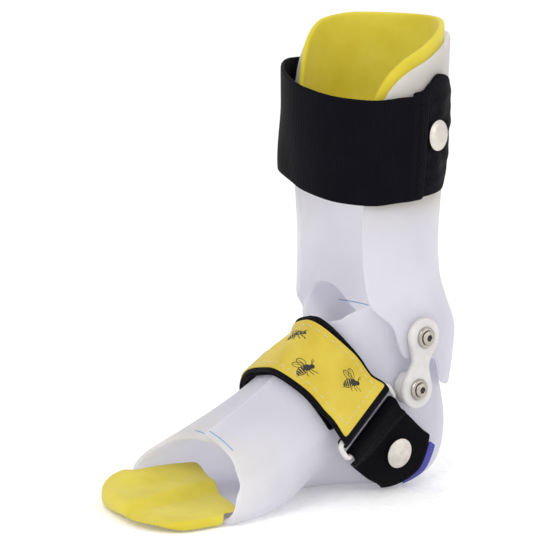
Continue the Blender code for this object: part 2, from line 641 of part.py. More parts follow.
t_cap = SURF.at_angle(-39.5)
t_low = SURF.at_angle(-57.5)
LOOP_LAY = 1.0 + STRAP_T                   # doubled webbing, centre above the shell
loop_t = np.linspace(T_BAR_B - 4.0, t_low, 20)
loop_h = LOOP_LAY + (RING_H + CURL - LOOP_LAY) * ease(T_BAR_B - 13, T_BAR_B - 1.5, loop_t)
loop_path = np.array(curl_path(T_BAR_B, -1) + list(zip(loop_t, loop_h)))
loop_thick = np.concatenate([np.full(9, STRAP_T),
                             STRAP_T + STRAP_T * ease(T_BAR_B - 4, T_BAR_B - 9, loop_t)])


def loop_lean(q):
    """How far the tail's end is shorter at the heel edge and longer at the toe edge."""
    return np.where(q > 0, 0.60, 0.28) * q


def loop_point(t, q, h):
    """The tail of the riveted loop leans, so that its end stays square to the ring."""
    t, q = np.broadcast_arrays(t, q)
    tail = ease(T_BAR_B - 4, t_low, t)
    return SURF.point(t + tail * loop_lean(q), q - 0.10 * np.maximum(q, 0.0) * tail, h)


def folded_loop():
    """The folded webbing is one body: a doubled tail that thins into the fold round the bar."""
    tangent = np.gradient(loop_path, axis=0)
    tangent /= np.linalg.norm(tangent, axis=1, keepdims=True)
    normal = np.stack([tangent[:, 1], -tangent[:, 0]], 1) * loop_thick[:, None] / 2
    q = np.linspace(-HALF_W, HALF_W, 5)[None, :]
    one, two = loop_path + normal, loop_path - normal
    outer = off_floor(loop_point(one[:, :1], q, one[:, 1:]))
    inner = loop_point(two[:, :1], q, two[:, 1:])
    return sheet("chafe_loop", outer, inner, 0.12)


chafe_loop = folded_loop()
material(chafe_loop, BLACK, 0.85)


def strap_ring():
    """Rounded rectangular loop of wire that both straps turn round."""
    t_mid = 0.5 * (T_BAR_A + T_BAR_B)
    p, along, across, out = frame_at(SURF, t_mid, 0.0, RING_H)
    half_x, half_y, corner = RING_PITCH / 2, HALF_W + RING_SPARE, 2.6
    wire = bpy.data.curves.new("strap_ring", "CURVE")
    wire.dimensions = "3D"
    wire.bevel_depth = RING_WIRE * MM
    wire.bevel_resolution = 2
    path = []
    for side_x, side_y, start in ((1, 1, 0), (-1, 1, 90), (-1, -1, 180), (1, -1, 270)):
        for k in range(5):
            a = math.radians(start + 22.5 * k)
            path.append((side_x * (half_x - corner) + corner * math.cos(a),
                         side_y * (half_y - corner) + corner * math.sin(a)))
    spline = wire.splines.new("POLY")
    spline.points.add(len(path) - 1)
    for point, (x, y) in zip(spline.points, path):
        point.co = (x * MM, y * MM, 0.0, 1.0)
    spline.use_cyclic_u = True
    ob = bpy.data.objects.new("strap_ring", wire)
    PARTS.objects.link(ob)
    turn = Matrix((along, np.cross(out, along), out)).transposed().to_4x4()
    ob.matrix_world = Matrix.Translation(Vector(p) * MM) @ turn
    return material(ob, (0.72, 0.71, 0.69), 0.35)


strap_ring()


def rivet(name, p, out, shank):
    """Domed cap on a shank that goes down through the strap and the shell."""
    profile = [(0, 1.9), (CAP_R * 0.62, 1.6), (CAP_R - 0.7, 1.0), (CAP_R, 0.3), (CAP_R - 0.3, 0.0),
               (1.8, 0.0), (1.8, -shank), (0, -shank)]
    return material(turned(name, profile, tuple(p), tuple(out), 22), STEEL, 0.3, 1.0)


def drill(target, p, out, depth):
    hole(target, tuple(p), tuple(out), 2.15, -depth, 3.0)


cap_lay = 1.0 + 2 * STRAP_T + GAP
p, along, across, out = frame_at(SURF, t_cap, 0.0, cap_lay)
rivet("chafe_rivet", p, out, cap_lay + SHELL_T)
drill(chafe_loop, p, out, 9.0)
drill(foot_shell, p, out, 11.0)
anchor_lay = 1.25 + STRAP_T + GAP
p, along, across, out = frame_at(SURF, t_end, 0.0, anchor_lay)
rivet("anchor_rivet", p, out, anchor_lay + SHELL_T)
drill(instep_strap, p, out, 7.0)
drill(foot_shell, p, out, 9.0)

tag_t = t_low - np.array([1.7, 3.0, 4.7, 6.7])[:, None]
tag_q = np.linspace(-9.5, 14.5, 5)[None, :]
tag_t = tag_t + loop_lean(tag_q)
blank_tag = sheet("blank_tag", off_floor(SURF.point(tag_t, tag_q, 2.45)),
                  off_floor(SURF.point(tag_t, tag_q, 1.75)), 0.15)
material(blank_tag, (0.06, 0.05, 0.36), 0.7)

# ---- calf strap, its riveted tab and the hook pad
STRAP_START = 87.5         # where the closing strap meets the riveted tab, degrees
STRAP_MID = [(87.5, 169.5), (105, 168.3), (125, 167), (150, 168), (180, 171.5), (215, 178.5),
             (245, 182), (276, 182)]
STRAP_OFF = [(87.5, 2.6), (97, 2.6), (102, 1.4), (110, 0.8), (131, 1.0), (155, 1.6), (180, 1.8),
             (205, 2.3), (225, 2.6), (243, 2.4), (256, 2.0), (276, 1.9)]
STRAP_FLARE = 3.0          # how far the lower edge stands off at the far side
th_s = np.concatenate([np.linspace(STRAP_START, 102, 4), np.linspace(108, 256, 19),
                       np.linspace(264, 276, 3)])
q_s = np.linspace(-CALF_STRAP_W / 2, CALF_STRAP_W / 2, 6)
flare = STRAP_FLARE * (ease(195, 222, th_s) * ease(262, 240, th_s))[:, None] * ease(8, -25, q_s)[None, :]
off_s = curve(STRAP_OFF, th_s)[:, None] + flare
z_s = curve(STRAP_MID, th_s)[:, None] + q_s[None, :]
t_s = np.repeat(th_s[:, None], len(q_s), 1)
calf_strap = sheet("calf_strap", calf_surface(t_s, z_s, off_s + CALF_STRAP_T),
                   calf_surface(t_s, z_s, off_s), 0.15)
material(calf_strap, BLACK, 0.8)

TAB_TOP = [(52, 192), (58, 199), (65, 202.5), (75, 203.5), (84, 199), (89, 196), (95.5, 195)]
TAB_LOW = [(52, 158), (56, 150.5), (62, 147.5), (75, 146), (88, 145.2), (95.5, 144.8)]
th_t = np.linspace(52, 95.5, 10)
v_t = np.linspace(0, 1, 8)
z_t = curve(TAB_LOW, th_t)[:, None] * (1 - v_t) + curve(TAB_TOP, th_t)[:, None] * v_t
t_t = np.repeat(th_t[:, None], len(v_t), 1)
strap_tab = sheet("strap_tab", calf_surface(t_t, z_t, GAP + TAB_T), calf_surface(t_t, z_t, GAP), 0.2)
material(strap_tab, BLACK, 0.95)

th_h = np.linspace(-104, -62, 8)
v_h = np.linspace(161, 203, 6)
t_h, z_h = np.meshgrid(th_h, v_h, indexing="ij")
hook_pad = sheet("hook_pad", calf_surface(t_h, z_h, GAP + HOOK_T), calf_surface(t_h, z_h, GAP), 0.15)
material(hook_pad, (0.02, 0.02, 0.025), 0.9)

CAP_AT = (75.5, 174.5)     # angle and height of the cap on the tab
around = calf_surface(CAP_AT[0] + 2, CAP_AT[1], 3.0) - calf_surface(CAP_AT[0] - 2, CAP_AT[1], 3.0)
out = np.cross(around, np.array([0.0, 0.0, -1.0]))
out /= np.linalg.norm(out)
out *= np.sign(out[0])
base = calf_surface(*CAP_AT, GAP + TAB_T + GAP)
rivet("tab_rivet", base + out * 0.25, out, 0.25 + 2 * GAP + TAB_T + SHELL_T)
drill(strap_tab, base, out, 5.0)
drill(calf_shell, base, out, 6.0)


# ---- pivots of the moving pieces
def hang(name, place, pieces):
    """Parent pieces to an empty on their joint's axis, keeping them where they are."""
    pivot = bpy.data.objects.new(name, None)
    PARTS.objects.link(pivot)
    pivot.location = Vector(place) * MM
    for ob in pieces:
        ob.parent = pivot
        ob.matrix_parent_inverse = Matrix.Translation(-Vector(place) * MM)


upper = [ob for ob in PARTS.objects if ob.name.startswith("upper_")]
hang("ankle_pivot", (0.0, HINGE_Y, HINGE_Z),
     upper + [calf_shell, calf_liner, strap_tab, hook_pad, bpy.data.objects["tab_rivet"]])
hang("closing_strap_pivot", calf_surface(STRAP_START, 169.5, 2.6), [calf_strap])
hang("instep_flap_pivot", frame_at(SURF, T_BAR_A, 0.0, RING_H)[0], [flap_backing, flap_cover])
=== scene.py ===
"""Looks for a child's hinged ankle foot orthosis (right foot).

Row frame: toes along -Y, heel along +Y, medial side +X, up +Z, origin on the sole under the ankle.
Lengths in this file are millimetres until a mesh is made.  The shell, foam and strap surfaces
below are the part's own design surfaces, so every visible piece lies where its CAD solid is.
"""
import json
import math

import bmesh
import bpy
import numpy as np
from mathutils import Matrix, Vector
from mathutils.bvhtree import BVHTree

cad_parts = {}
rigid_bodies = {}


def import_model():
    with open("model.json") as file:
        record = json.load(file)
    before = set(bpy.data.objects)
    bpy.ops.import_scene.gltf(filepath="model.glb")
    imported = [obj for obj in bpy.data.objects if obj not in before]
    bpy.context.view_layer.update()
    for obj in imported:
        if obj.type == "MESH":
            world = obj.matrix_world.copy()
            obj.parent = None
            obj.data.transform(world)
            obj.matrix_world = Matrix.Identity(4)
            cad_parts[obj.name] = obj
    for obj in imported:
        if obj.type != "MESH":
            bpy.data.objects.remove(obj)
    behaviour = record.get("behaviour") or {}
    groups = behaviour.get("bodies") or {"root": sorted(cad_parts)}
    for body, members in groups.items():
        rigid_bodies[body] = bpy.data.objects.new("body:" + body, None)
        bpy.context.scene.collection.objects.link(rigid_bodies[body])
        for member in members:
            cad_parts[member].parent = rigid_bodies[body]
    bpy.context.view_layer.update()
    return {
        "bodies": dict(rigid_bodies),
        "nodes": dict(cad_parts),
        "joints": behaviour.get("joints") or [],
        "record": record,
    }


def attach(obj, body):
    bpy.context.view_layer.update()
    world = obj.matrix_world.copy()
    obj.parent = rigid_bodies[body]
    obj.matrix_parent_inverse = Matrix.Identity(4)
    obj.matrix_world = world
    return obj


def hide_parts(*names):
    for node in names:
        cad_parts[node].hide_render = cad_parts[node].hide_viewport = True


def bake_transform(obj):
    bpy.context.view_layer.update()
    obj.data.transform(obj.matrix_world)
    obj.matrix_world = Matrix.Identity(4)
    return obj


MM = 0.001

# ---------- design numbers, as in the part
SHELL_T = 2.6             # thermoplastic wall
GAP = 0.3                 # clearance between neighbours
FLAP_LIFT = SHELL_T + GAP  # medial instep flap lies over the lateral one
FLAP_EDGE = 442.0         # free edge of the medial flap, degrees round the foot
TUCK_EDGE = 58.0          # free edge of the lateral flap
PIVOT_Y = -40.0           # bend centre of the instep, side view
PIVOT_Z = 84.0
CORNER = 12.0             # squareness of the heel corner
ARCH_RISE = 10.5
ARCH_Y = -39.0
ARCH_SPAN = 27.0
HINGE_Y = 6.5             # ankle axis
HINGE_Z = 64.0
SCREW_Y = (4.6, 8.4)      # lower and upper screw
SCREW_Z = (51.4, 76.6)
CALF_FLAT_X = 36.2        # flat joint seat on the calf shell
FOOT_FLAT_X = 30.0        # flat joint seat on the foot shell
FLEX_T = 3.2
FLEX_R = 9.5
FLEX_NECK = 5.2
BORE = 2.45               # radius of the screw holes
FOAM_T = 3.0
CALF_STRAP_W = 50.0
CALF_STRAP_T = 1.8
TAB_T = 2.0
HOOK_T = 1.2
INSTEP_W = 38.0
STRAP_T = 1.5
COVER_T = 0.8
UNDER_LAY = 1.25          # underside of the under strap above the shell
PLY_GAP = 0.35            # between the layers of the folded flap
RING_WIRE = 1.3           # half thickness of the ring bar
RING_H = 5.3              # ring centre above the shell
RING_PITCH = 8.6          # distance between the ring's long bars
RING_SPARE = 2.4          # ring longer than the webbing is wide, at each end
STRAP_CLEAR = 0.25        # least height of a strap above the floor
TURNED_SIDES = 48

# height of the instep ridge by y, and side-view outlines
RIDGE = [(-150, 22), (-125, 25), (-110, 29), (-95, 36), (-75, 46), (-58, 56), (-40, 69.5)]
SOLE = [(-152, 3), (-140, 1), (-125, 0), (-105, 0), (-40, 0)]
BEND = [(0, 14.5), (10, 12.9), (20, 12.1), (30, 11.7), (45, 11.7), (60, 12.1), (75, 12.3), (90, 12.5)]
BACK = [(0, 40), (8, 42), (18, 44), (28, 44.5), (40, 43), (50, 41), (60, 39.5), (80, 38), (110, 38)]
# half widths along the foot, by station
MEDIAL = [(-110, 40), (-85, 43), (-65, 43), (-45, 40.5), (-20, 36), (0, 32), (30, 29.5),
          (60, 28.8), (90, 28.4), (110, 28.4)]
LATERAL = [(-110, 38), (-85, 39.5), (-65, 39), (-45, 38), (-20, 36), (0, 33), (30, 30),
           (60, 28.8), (90, 28.4), (110, 28.4)]
# trim lines of the foot shell: station by angle round the foot
TRIM_TOE = [(58, -57), (90, -58), (130, -60), (150, -64), (180, -68), (200, -70.5), (230, -71.3),
            (300, -71.3), (340, -70.5), (360, -68), (378, -64), (397, -62), (415, -60), (442, -58)]
TRIM_TOP = [(58, 66), (90, 73), (105, 84), (125, 92), (150, 98), (168, 101.5), (180, 99),
            (192, 91), (205, 83.5), (222, 76.5), (240, 73), (255, 72), (285, 72), (300, 73),
            (318, 76.5), (335, 83.5), (348, 91), (360, 99), (372, 101.5), (390, 98), (412, 93),
            (428, 86), (437, 79), (442, 70)]
# calf shell: half width, back and front by height
CALF_HALF = [(44, 35.5), (60, 36), (75, 36), (90, 34.5), (105, 33), (120, 33), (150, 35),
             (180, 37), (228, 38)]
CALF_BACK = [(44, 43.5), (50, 44.8), (60, 47), (77, 49.5), (90, 45.3), (105, 40.5), (120, 39.3),
             (150, 40), (180, 41), (228, 42)]
CALF_FRONT = [(44, -26), (75, -28), (90, -28.5), (105, -29), (120, -30), (150, -32),
              (180, -34), (228, -35)]
CALF_Y = 3.0
CALF_SQUARE = [(44, 2.7), (80, 2.5), (100, 2.25), (120, 2.15)]   # squareness in plan by height
# trim lines of the calf shell: height by angle from the back, medial positive
CALF_TOP = [(-131, 148), (-129, 163), (-125, 180), (-118, 197), (-110, 208), (-101, 215.5),
            (-90, 220), (-60, 222), (0, 222), (35, 221), (56, 217), (84, 209), (100, 203.5),
            (110, 198), (118, 190), (125, 176), (129, 161), (131, 148)]
CALF_LOW_HALF = [(0, 49.5), (40, 50), (58, 52), (66, 57), (71, 64), (77, 66), (85, 66), (93, 67.2),
                 (98, 72), (103, 82), (112, 87), (122, 91), (129, 98), (131, 112)]
CALF_LOW = [(-angle, z) for angle, z in CALF_LOW_HALF[:0:-1]] + CALF_LOW_HALF
PAD_MEDIAL = [(-148.4, 18), (-147.6, 24), (-146.2, 28.5), (-143, 33.5), (-138, 36.6), (-130, 38),
              (-120, 38.2), (-114.5, 38), (-113, 36.6), (-111.5, 36), (-100, 36), (-88, 34)]
PAD_LATERAL = [(-148.4, 12), (-147.6, 6), (-146.2, 0.5), (-143, -9), (-138, -21), (-134, -28),
               (-128, -34.5), (-120, -38.2), (-114.5, -38.5), (-113, -35.5), (-111.5, -34), (-100, -33),
               (-88, -30)]
LINER_TOP = [(-138, 156), (-135, 170), (-130, 186), (-122, 202), (-113, 213), (-103, 220.5),
             (-91, 225.5), (-60, 228), (0, 228), (35, 227), (56, 223), (84, 215), (100, 209.5),
             (112, 203.5), (122, 194.5), (130, 180), (135, 165), (138, 150)]
LINER_LOW = [(-138, 151), (-130, 155), (-60, 152), (0, 144), (60, 140), (120, 140), (130, 142),
             (138, 146)]
STRAP_START = 87.5         # where the closing strap meets the riveted tab, degrees
STRAP_MID = [(87.5, 169.5), (105, 168.3), (125, 167), (150, 168), (180, 171.5), (215, 178.5),
             (245, 182), (276, 182)]
STRAP_OFF = [(87.5, 2.6), (97, 2.6), (102, 1.4), (110, 0.8), (131, 1.0), (155, 1.6), (180, 1.8),
             (205, 2.3), (225, 2.6), (243, 2.4), (256, 2.0), (276, 1.9)]
STRAP_FLARE = 3.0          # how far the lower edge stands off at the far side
TAB_TOP = [(52, 192), (58, 199), (65, 202.5), (75, 203.5), (84, 199), (89, 196), (95.5, 195)]
TAB_LOW = [(52, 158), (56, 150.5), (62, 147.5), (75, 146), (88, 145.2), (95.5, 144.8)]
CAP_AT = (75.5, 174.5)     # angle and height of the cap on the tab

STRAP_C = np.array([0.0, -14.0, 40.0])      # a point inside the foot
STRAP_E1 = np.array([0.0, 0.797, 0.604])    # across the strap
STRAP_E2 = np.array([0.0, -0.604, 0.797])   # up through the instep
STRAP_E3 = np.array([1.0, 0.0, 0.0])
# how far the middle of the strap shifts across it, by angle round the foot
STRAP_SHIFT = [(-75, 9), (-60, 6), (-41, -1.5), (0, -9), (15, -10), (60, -6), (90, -4),
               (140, -5), (175, -8.5), (195, -8.5), (225, -3), (255, 3)]


# ---------- small maths
def curve(table, t):
    """Smooth interpolation through (x, value) pairs, held beyond the ends."""
    p = np.asarray(table, float)
    x, y = p[:, 0], p[:, 1]
    d = np.diff(y) / np.diff(x)
    m = np.zeros(len(x))
    m[0], m[-1] = d[0], d[-1]
    same = d[:-1] * d[1:] > 0
    m[1:-1] = np.where(same, 2 * d[:-1] * d[1:] / np.where(same, d[:-1] + d[1:], 1.0), 0.0)
    t = np.clip(np.asarray(t, float), x[0], x[-1])
    i = np.clip(np.searchsorted(x, t, side="right") - 1, 0, len(x) - 2)
    h = x[i + 1] - x[i]
    s = (t - x[i]) / h
    a = (2 * s ** 3 - 3 * s ** 2 + 1) * y[i] + (s ** 3 - 2 * s ** 2 + s) * h * m[i]
    return a + (-2 * s ** 3 + 3 * s ** 2) * y[i + 1] + (s ** 3 - s ** 2) * h * m[i + 1]


def ease(lo, hi, x):
    t = np.clip((np.asarray(x, float) - lo) / (hi - lo), 0.0, 1.0)
    return t * t * (3 - 2 * t)


def unit(v):
    return v / np.maximum(np.linalg.norm(v, axis=-1, keepdims=True), 1e-9)


def spans(*runs):
    """Evenly spaced values over each (first, last, count) in turn."""
    return np.concatenate([np.linspace(*run) for run in runs])


def run_length(path):
    """Distance along a path of points, from 0 at its start."""
    return np.append(0.0, np.cumsum(np.linalg.norm(np.diff(path, axis=0), axis=-1)))


def between(low_trim, top_trim, angle, part):
    """Grid of angles, and of the stations that lie between two trim lines."""
    low, top = curve(low_trim, angle)[:, None], curve(top_trim, angle)[:, None]
    return np.repeat(angle[:, None], len(part), 1), low + (top - low) * part


# ---------- design surfaces
def stations(s):
    """Section planes: parallel along the forefoot, fanned round the bend, level above it."""
    ang = np.radians(np.clip(s, 0, 90))
    return PIVOT_Y + np.minimum(s, 0), PIVOT_Z + np.maximum(s - 90, 0), np.sin(ang), -np.cos(ang)


def sole_reach(s):
    y0, z0, dy, dz = stations(s)
    r = np.full(np.shape(s), PIVOT_Z)
    for _ in range(14):
        back = curve(BACK, np.clip(z0 + r * dz, 0, 110)) - y0
        r = ((np.maximum(dy, 1e-6) / back) ** CORNER
             + (np.maximum(-dz, 1e-6) / (PIVOT_Z + 1.0)) ** CORNER) ** (-1 / CORNER)
    return r


def foot_surface(s, w, off=0.0):
    """Point on the foot form.  w: 90 instep, 180 lateral, 270 sole, 360 medial."""
    s, w, off = np.broadcast_arrays(np.asarray(s, float), np.asarray(w, float), off)
    y0, z0, dy, dz = stations(s)
    y_sec = PIVOT_Y + np.minimum(s, 0)
    near = np.where(s < 0, PIVOT_Z - curve(RIDGE, y_sec), curve(BEND, s))
    far = np.where(s < 0, PIVOT_Z + 1.0 - curve(SOLE, y_sec), sole_reach(s))
    c, n = np.cos(np.radians(w)), np.sin(np.radians(w))
    half = np.where(c > 0, curve(MEDIAL, s), curve(LATERAL, s)) + off
    k_up = np.interp(s, [-110, -40, 0, 45, 75, 90], [1.8, 1.75, 1.65, 1.7, 2.0, 2.2])
    k_lo = np.interp(s, [-110, -60, -20, 0, 30, 50, 75, 90], [6.5, 6, 4.6, 4, 3.8, 3.2, 2.4, 2.3])
    k = np.where(n > 0, k_up, k_lo)
    mid = near + (far - near) * np.interp(s, [-110, 0, 90], [0.55, 0.5, 0.5])
    reach = np.where(n > 0, mid - near, far - mid) + off
    x = half * np.sign(c) * np.abs(c) ** (2 / k)
    r = mid - reach * np.sign(n) * np.abs(n) ** (2 / k)
    y = y0 + r * dy
    z = np.maximum(z0 + r * dz, np.maximum(-off, 0.0))
    arch = ARCH_RISE * np.exp(-((y - ARCH_Y) / ARCH_SPAN) ** 2) * ease(2, 26, x) * ease(40, 4, z)
    z = z + arch
    x = x - 0.4 * arch
    # flat seats for the joint spacers
    rho = np.hypot(y - SCREW_Y[0], z - SCREW_Z[0])
    seat = ease(19, 10, rho) * (np.abs(x) > 15)
    x = x + (np.sign(x) * (FOOT_FLAT_X + off) - x) * seat
    return np.stack([x, y, z], -1)


def calf_surface(th, z, off=0.0):
    """Point on the calf form.  th: degrees from the back, medial positive."""
    th, z, off = np.broadcast_arrays(np.asarray(th, float), np.asarray(z, float), off)
    c, n = np.cos(np.radians(th)), np.sin(np.radians(th))
    half = curve(CALF_HALF, z) + off
    depth = np.where(c > 0, curve(CALF_BACK, z) - CALF_Y, CALF_Y - curve(CALF_FRONT, z)) + off
    k = curve(CALF_SQUARE, z)
    x = half * np.sign(n) * np.abs(n) ** (2 / k)
    y = CALF_Y + depth * np.sign(c) * np.abs(c) ** (2 / k)
    rho = np.hypot(y - SCREW_Y[1], z - np.clip(z, 62, SCREW_Z[1]))
    seat = ease(20, 11, rho) * (np.abs(x) > 15)
    x = x + (np.sign(x) * (CALF_FLAT_X + off) - x) * seat
    return np.stack([x, y, z], -1)


def lift(w):
    return FLAP_LIFT * ease(385, 410, w)


def quads(index):
    """Faces of a grid of point numbers."""
    corners = index[:-1, :-1], index[1:, :-1], index[1:, 1:], index[:-1, 1:]
    return np.stack(corners, -1).reshape(-1, 4)


def foot_tree():
    """The outside of the foot shell, to lay the strap on."""
    s = np.linspace(-73, 103, 90)[:, None]
    w = np.linspace(TUCK_EDGE, FLAP_EDGE, 150)[None, :]
    pts = foot_surface(s, w, lift(w))
    faces = quads(np.arange(s.size * w.size).reshape(s.size, w.size))
    return BVHTree.FromPolygons([Vector(p) for p in pts.reshape(-1, 3)], faces.tolist())


def bridged(ang, r):
    """Radii of the taut loop round a section: on each ray, the farthest chord between two points."""
    turn = np.radians(ang) - np.radians(ang)[:, None]
    along, off = np.cos(turn) * r, np.sin(turn) * r
    one, two = off[:, :, None], off[:, None, :]
    crosses = (one * two <= 0) & (one != two)
    share = one / np.where(crosses, one - two, 1.0)
    reach = along[:, :, None] * (1 - share) + along[:, None, :] * share
    return np.maximum(r, np.where(crosses, reach, 0.0).max((1, 2)))


class StrapSurface:
    """Instep strap coordinates: t along the strap, q across it, h above the shell (mm)."""

    def __init__(self):
        tree = foot_tree()
        ang = np.arange(-100.0, 260.0, 3.0)
        self.q = np.linspace(-22.0, 22.0, 9)
        grid = np.zeros((len(ang), len(self.q), 3))
        rays = np.cos(np.radians(ang))[:, None] * STRAP_E3 + np.sin(np.radians(ang))[:, None] * STRAP_E2
        mid = curve(STRAP_SHIFT, ang)
        for j, q in enumerate(self.q):
            reach = []
            for ray, m in zip(rays, mid):
                base = STRAP_C + STRAP_E1 * (q + m)
                hit = tree.ray_cast(Vector(base + ray * 90.0), Vector(-ray))
                reach.append(90.0 - hit[3] if hit[0] is not None else 20.0)
            reach = bridged(ang, reach)
            grid[:, j] = STRAP_C + STRAP_E1 * (q + mid[:, None]) + rays * reach[:, None]
        grid[1:-1] = 0.25 * grid[:-2] + 0.5 * grid[1:-1] + 0.25 * grid[2:]
        self.ang = ang
        self.p = grid
        n = unit(np.cross(np.gradient(grid, axis=1), np.gradient(grid, axis=0)))
        if np.sum(n[40, 4] * (grid[40, 4] - STRAP_C)) < 0:
            n = -n
        self.n = n
        self.t = run_length(grid[:, 4])
        self.flat = None

    def flatten_at(self, t_mid, height):
        """Straps lie flat where they turn round the ring."""
        self.flat = (t_mid, height) + frame_at(self, t_mid, 0.0, height)

    def at_angle(self, a):
        return float(np.interp(a, self.ang, self.t))

    def point(self, t, q, h):
        t, q, h = np.broadcast_arrays(np.asarray(t, float), np.asarray(q, float), h)
        fi = np.interp(t, self.t, np.arange(len(self.t)))
        fj = np.interp(q, self.q, np.arange(len(self.q)))
        i = np.clip(fi.astype(int), 0, len(self.t) - 2)
        j = np.clip(fj.astype(int), 0, len(self.q) - 2)
        u = (fi - i)[..., None]
        v = (fj - j)[..., None]

        def mix(g):
            return ((1 - u) * (1 - v) * g[i, j] + u * (1 - v) * g[i + 1, j]
                    + (1 - u) * v * g[i, j + 1] + u * v * g[i + 1, j + 1])

        found = mix(self.p) + unit(mix(self.n)) * np.asarray(h)[..., None]
        if self.flat is None:
            return found
        t_mid, height, p, along, across, out = self.flat
        level = p + (t - t_mid)[..., None] * along + q[..., None] * across \
            + (h - height)[..., None] * out
        near = ease(14, 7.5, np.abs(t - t_mid))[..., None]
        return found + (level - found) * near


def frame_at(surf, t, q, h):
    """Point and axes on the strap: along, across, outward."""
    p = surf.point(t, q, h)
    along = unit(surf.point(t + 1.5, q, h) - surf.point(t - 1.5, q, h))
    across = surf.point(t, q + 1.5, h) - surf.point(t, q - 1.5, h)
    out = unit(np.cross(along, across))
    if np.dot(out, surf.point(t, q, h + 1) - p) < 0:
        out = -out
    across = unit(across - along * np.dot(across, along))
    return p, along, across, out


# ---------- mesh makers
def add(name, data):
    ob = bpy.data.objects.new(name, data)
    bpy.context.scene.collection.objects.link(ob)
    return ob


def skin(loops):
    """Faces between each loop of point numbers and the next."""
    pairs = zip(loops[:-1], loops[1:])
    return [face for one, two in pairs
            for face in np.stack([one, two, np.roll(two, -1), np.roll(one, -1)], -1).tolist()]


def swept(path, radii, side, up, sides):
    """Circles along a path: their points, and the numbers of each circle's points."""
    a = math.tau * np.arange(sides)[:, None] / sides
    verts = path[:, None] + radii * (side[:, None] * np.cos(a) + up[:, None] * np.sin(a))
    return verts.reshape(-1, 3), np.arange(len(path) * sides).reshape(-1, sides)


def piece(name, verts, faces, lay=None):
    """Smooth-shaded mesh from points in mm, faces turned outward.  lay: (u, v, side) per point, mm."""
    me = bpy.data.meshes.new(name)
    me.from_pydata((np.asarray(verts, float) * MM).tolist(), [], [tuple(f) for f in faces])
    bm = bmesh.new()
    bm.from_mesh(me)
    bmesh.ops.recalc_face_normals(bm, faces=bm.faces[:])
    if bm.calc_volume(signed=True) < 0:
        bmesh.ops.reverse_faces(bm, faces=bm.faces[:])
    bm.to_mesh(me)
    bm.free()
    me.shade_smooth()
    if lay is not None:
        at = me.attributes.new("lay", "FLOAT_VECTOR", "POINT")
        at.data.foreach_set("vector", np.asarray(lay, np.float32).ravel())
    return add(name, me)


def wall(name, outer, inner, lay, swell=1.0, levels=1):
    """Closed wall between two matching grids of points, with a rounded edge all round."""
    steps = 3
    nu, nv = outer.shape[:2]
    index = np.arange(nu * nv).reshape(nu, nv)
    rim = np.concatenate([index[:, 0], index[-1, 1:], index[-2::-1, -1], index[0, -2:0:-1]])
    ii, jj = np.divmod(rim, nv)
    inside = index[np.clip(ii, 1, nu - 2), np.clip(jj, 1, nv - 2)]
    po, pi_ = outer.reshape(-1, 3), inner.reshape(-1, 3)
    mid = (po[rim] + pi_[rim]) / 2
    half = (po[rim] - pi_[rim]) / 2
    tangent = unit(np.roll(mid, -1, 0) - np.roll(mid, 1, 0))
    away = unit(np.cross(tangent, half))
    turn = np.sum(away * (mid - (po[inside] + pi_[inside]) / 2), -1, keepdims=True)
    away = away * np.where(turn < 0, -1.0, 1.0) * np.linalg.norm(half, axis=-1, keepdims=True) * swell
    rows = [mid + half * math.cos(a) + away * math.sin(a)
            for a in (math.pi * k / (steps + 1) for k in range(1, steps + 1))]
    verts = np.concatenate([po, pi_] + rows)
    n, m = nu * nv, len(rim)
    faces = quads(index)
    loops = [rim] + [2 * n + k * m + np.arange(m) for k in range(steps)] + [rim + n]
    uv = np.stack(np.broadcast_arrays(*lay), -1).reshape(-1, 2)
    side = [np.ones(n), np.zeros(n)] + [np.full(m, 1 - k / (steps + 1)) for k in range(1, steps + 1)]
    coords = np.column_stack([np.concatenate([uv, uv] + [uv[rim]] * steps), np.concatenate(side)])
    ob = piece(name, verts, faces.tolist() + (faces[:, ::-1] + n).tolist() + skin(loops), coords)
    mod = ob.modifiers.new("soften", "SUBSURF")
    mod.levels = mod.render_levels = levels
    mod.boundary_smooth = "ALL"
    return ob


def turned(name, profile, origin, axis, segments=TURNED_SIDES, hexed=0):
    """Turned piece.  profile: (radius, height) pairs; it closes on itself where it leaves the axis.

    The first hexed rings are hexagons, for a key socket."""
    frame = Vector(axis).normalized().to_track_quat("Z", "Y").to_matrix()
    closed = profile[0][0] > 1e-6
    verts, rings = [], []
    for r, h in profile:
        count = segments if r > 1e-6 else 1
        rings.append(list(range(len(verts), len(verts) + count)))
        for k in range(count):
            a = math.tau * k / segments
            reach = r
            if 0 < len(rings) - 1 <= hexed:
                reach = 0.92 * r / math.cos(a % (math.tau / 6) - math.tau / 12)
            verts.append(Vector(origin) + frame @ Vector((reach * math.cos(a), reach * math.sin(a), h)))
    faces = []
    pairs = list(zip(rings[:-1], rings[1:])) + ([(rings[-1], rings[0])] if closed else [])
    for one, two in pairs:
        for k in range(segments):
            m = (k + 1) % segments
            if len(one) == 1:
                faces.append((one[0], two[k], two[m]))
            elif len(two) == 1:
                faces.append((one[k], two[0], one[m]))
            else:
                faces.append((one[k], two[k], two[m], one[m]))
    return piece(name, verts, faces)


def tube(p, radius):
    """Points and faces of a closed thread with domed ends."""
    tan = unit(np.gradient(p, axis=0))
    ref = np.array([0.0, 0.0, 1.0]) if abs(tan[0][2]) < 0.8 else np.array([1.0, 0.0, 0.0])
    side = unit(np.cross(tan, ref))
    radii = np.full((len(p), 1, 1), radius)
    radii[0] = radii[-1] = 0.55 * radius
    verts, loops = swept(p, radii, side, np.cross(side, tan), 6)
    return verts, skin(loops) + [loops[0], loops[-1]]


def threads(name, runs, radius):
    """One object of many short stitches."""
    verts, faces = [], []
    for run in runs:
        v, f = tube(run, radius)
        faces += [np.add(face, len(verts)) for face in f]
        verts += list(v)
    return piece(name, verts, faces)


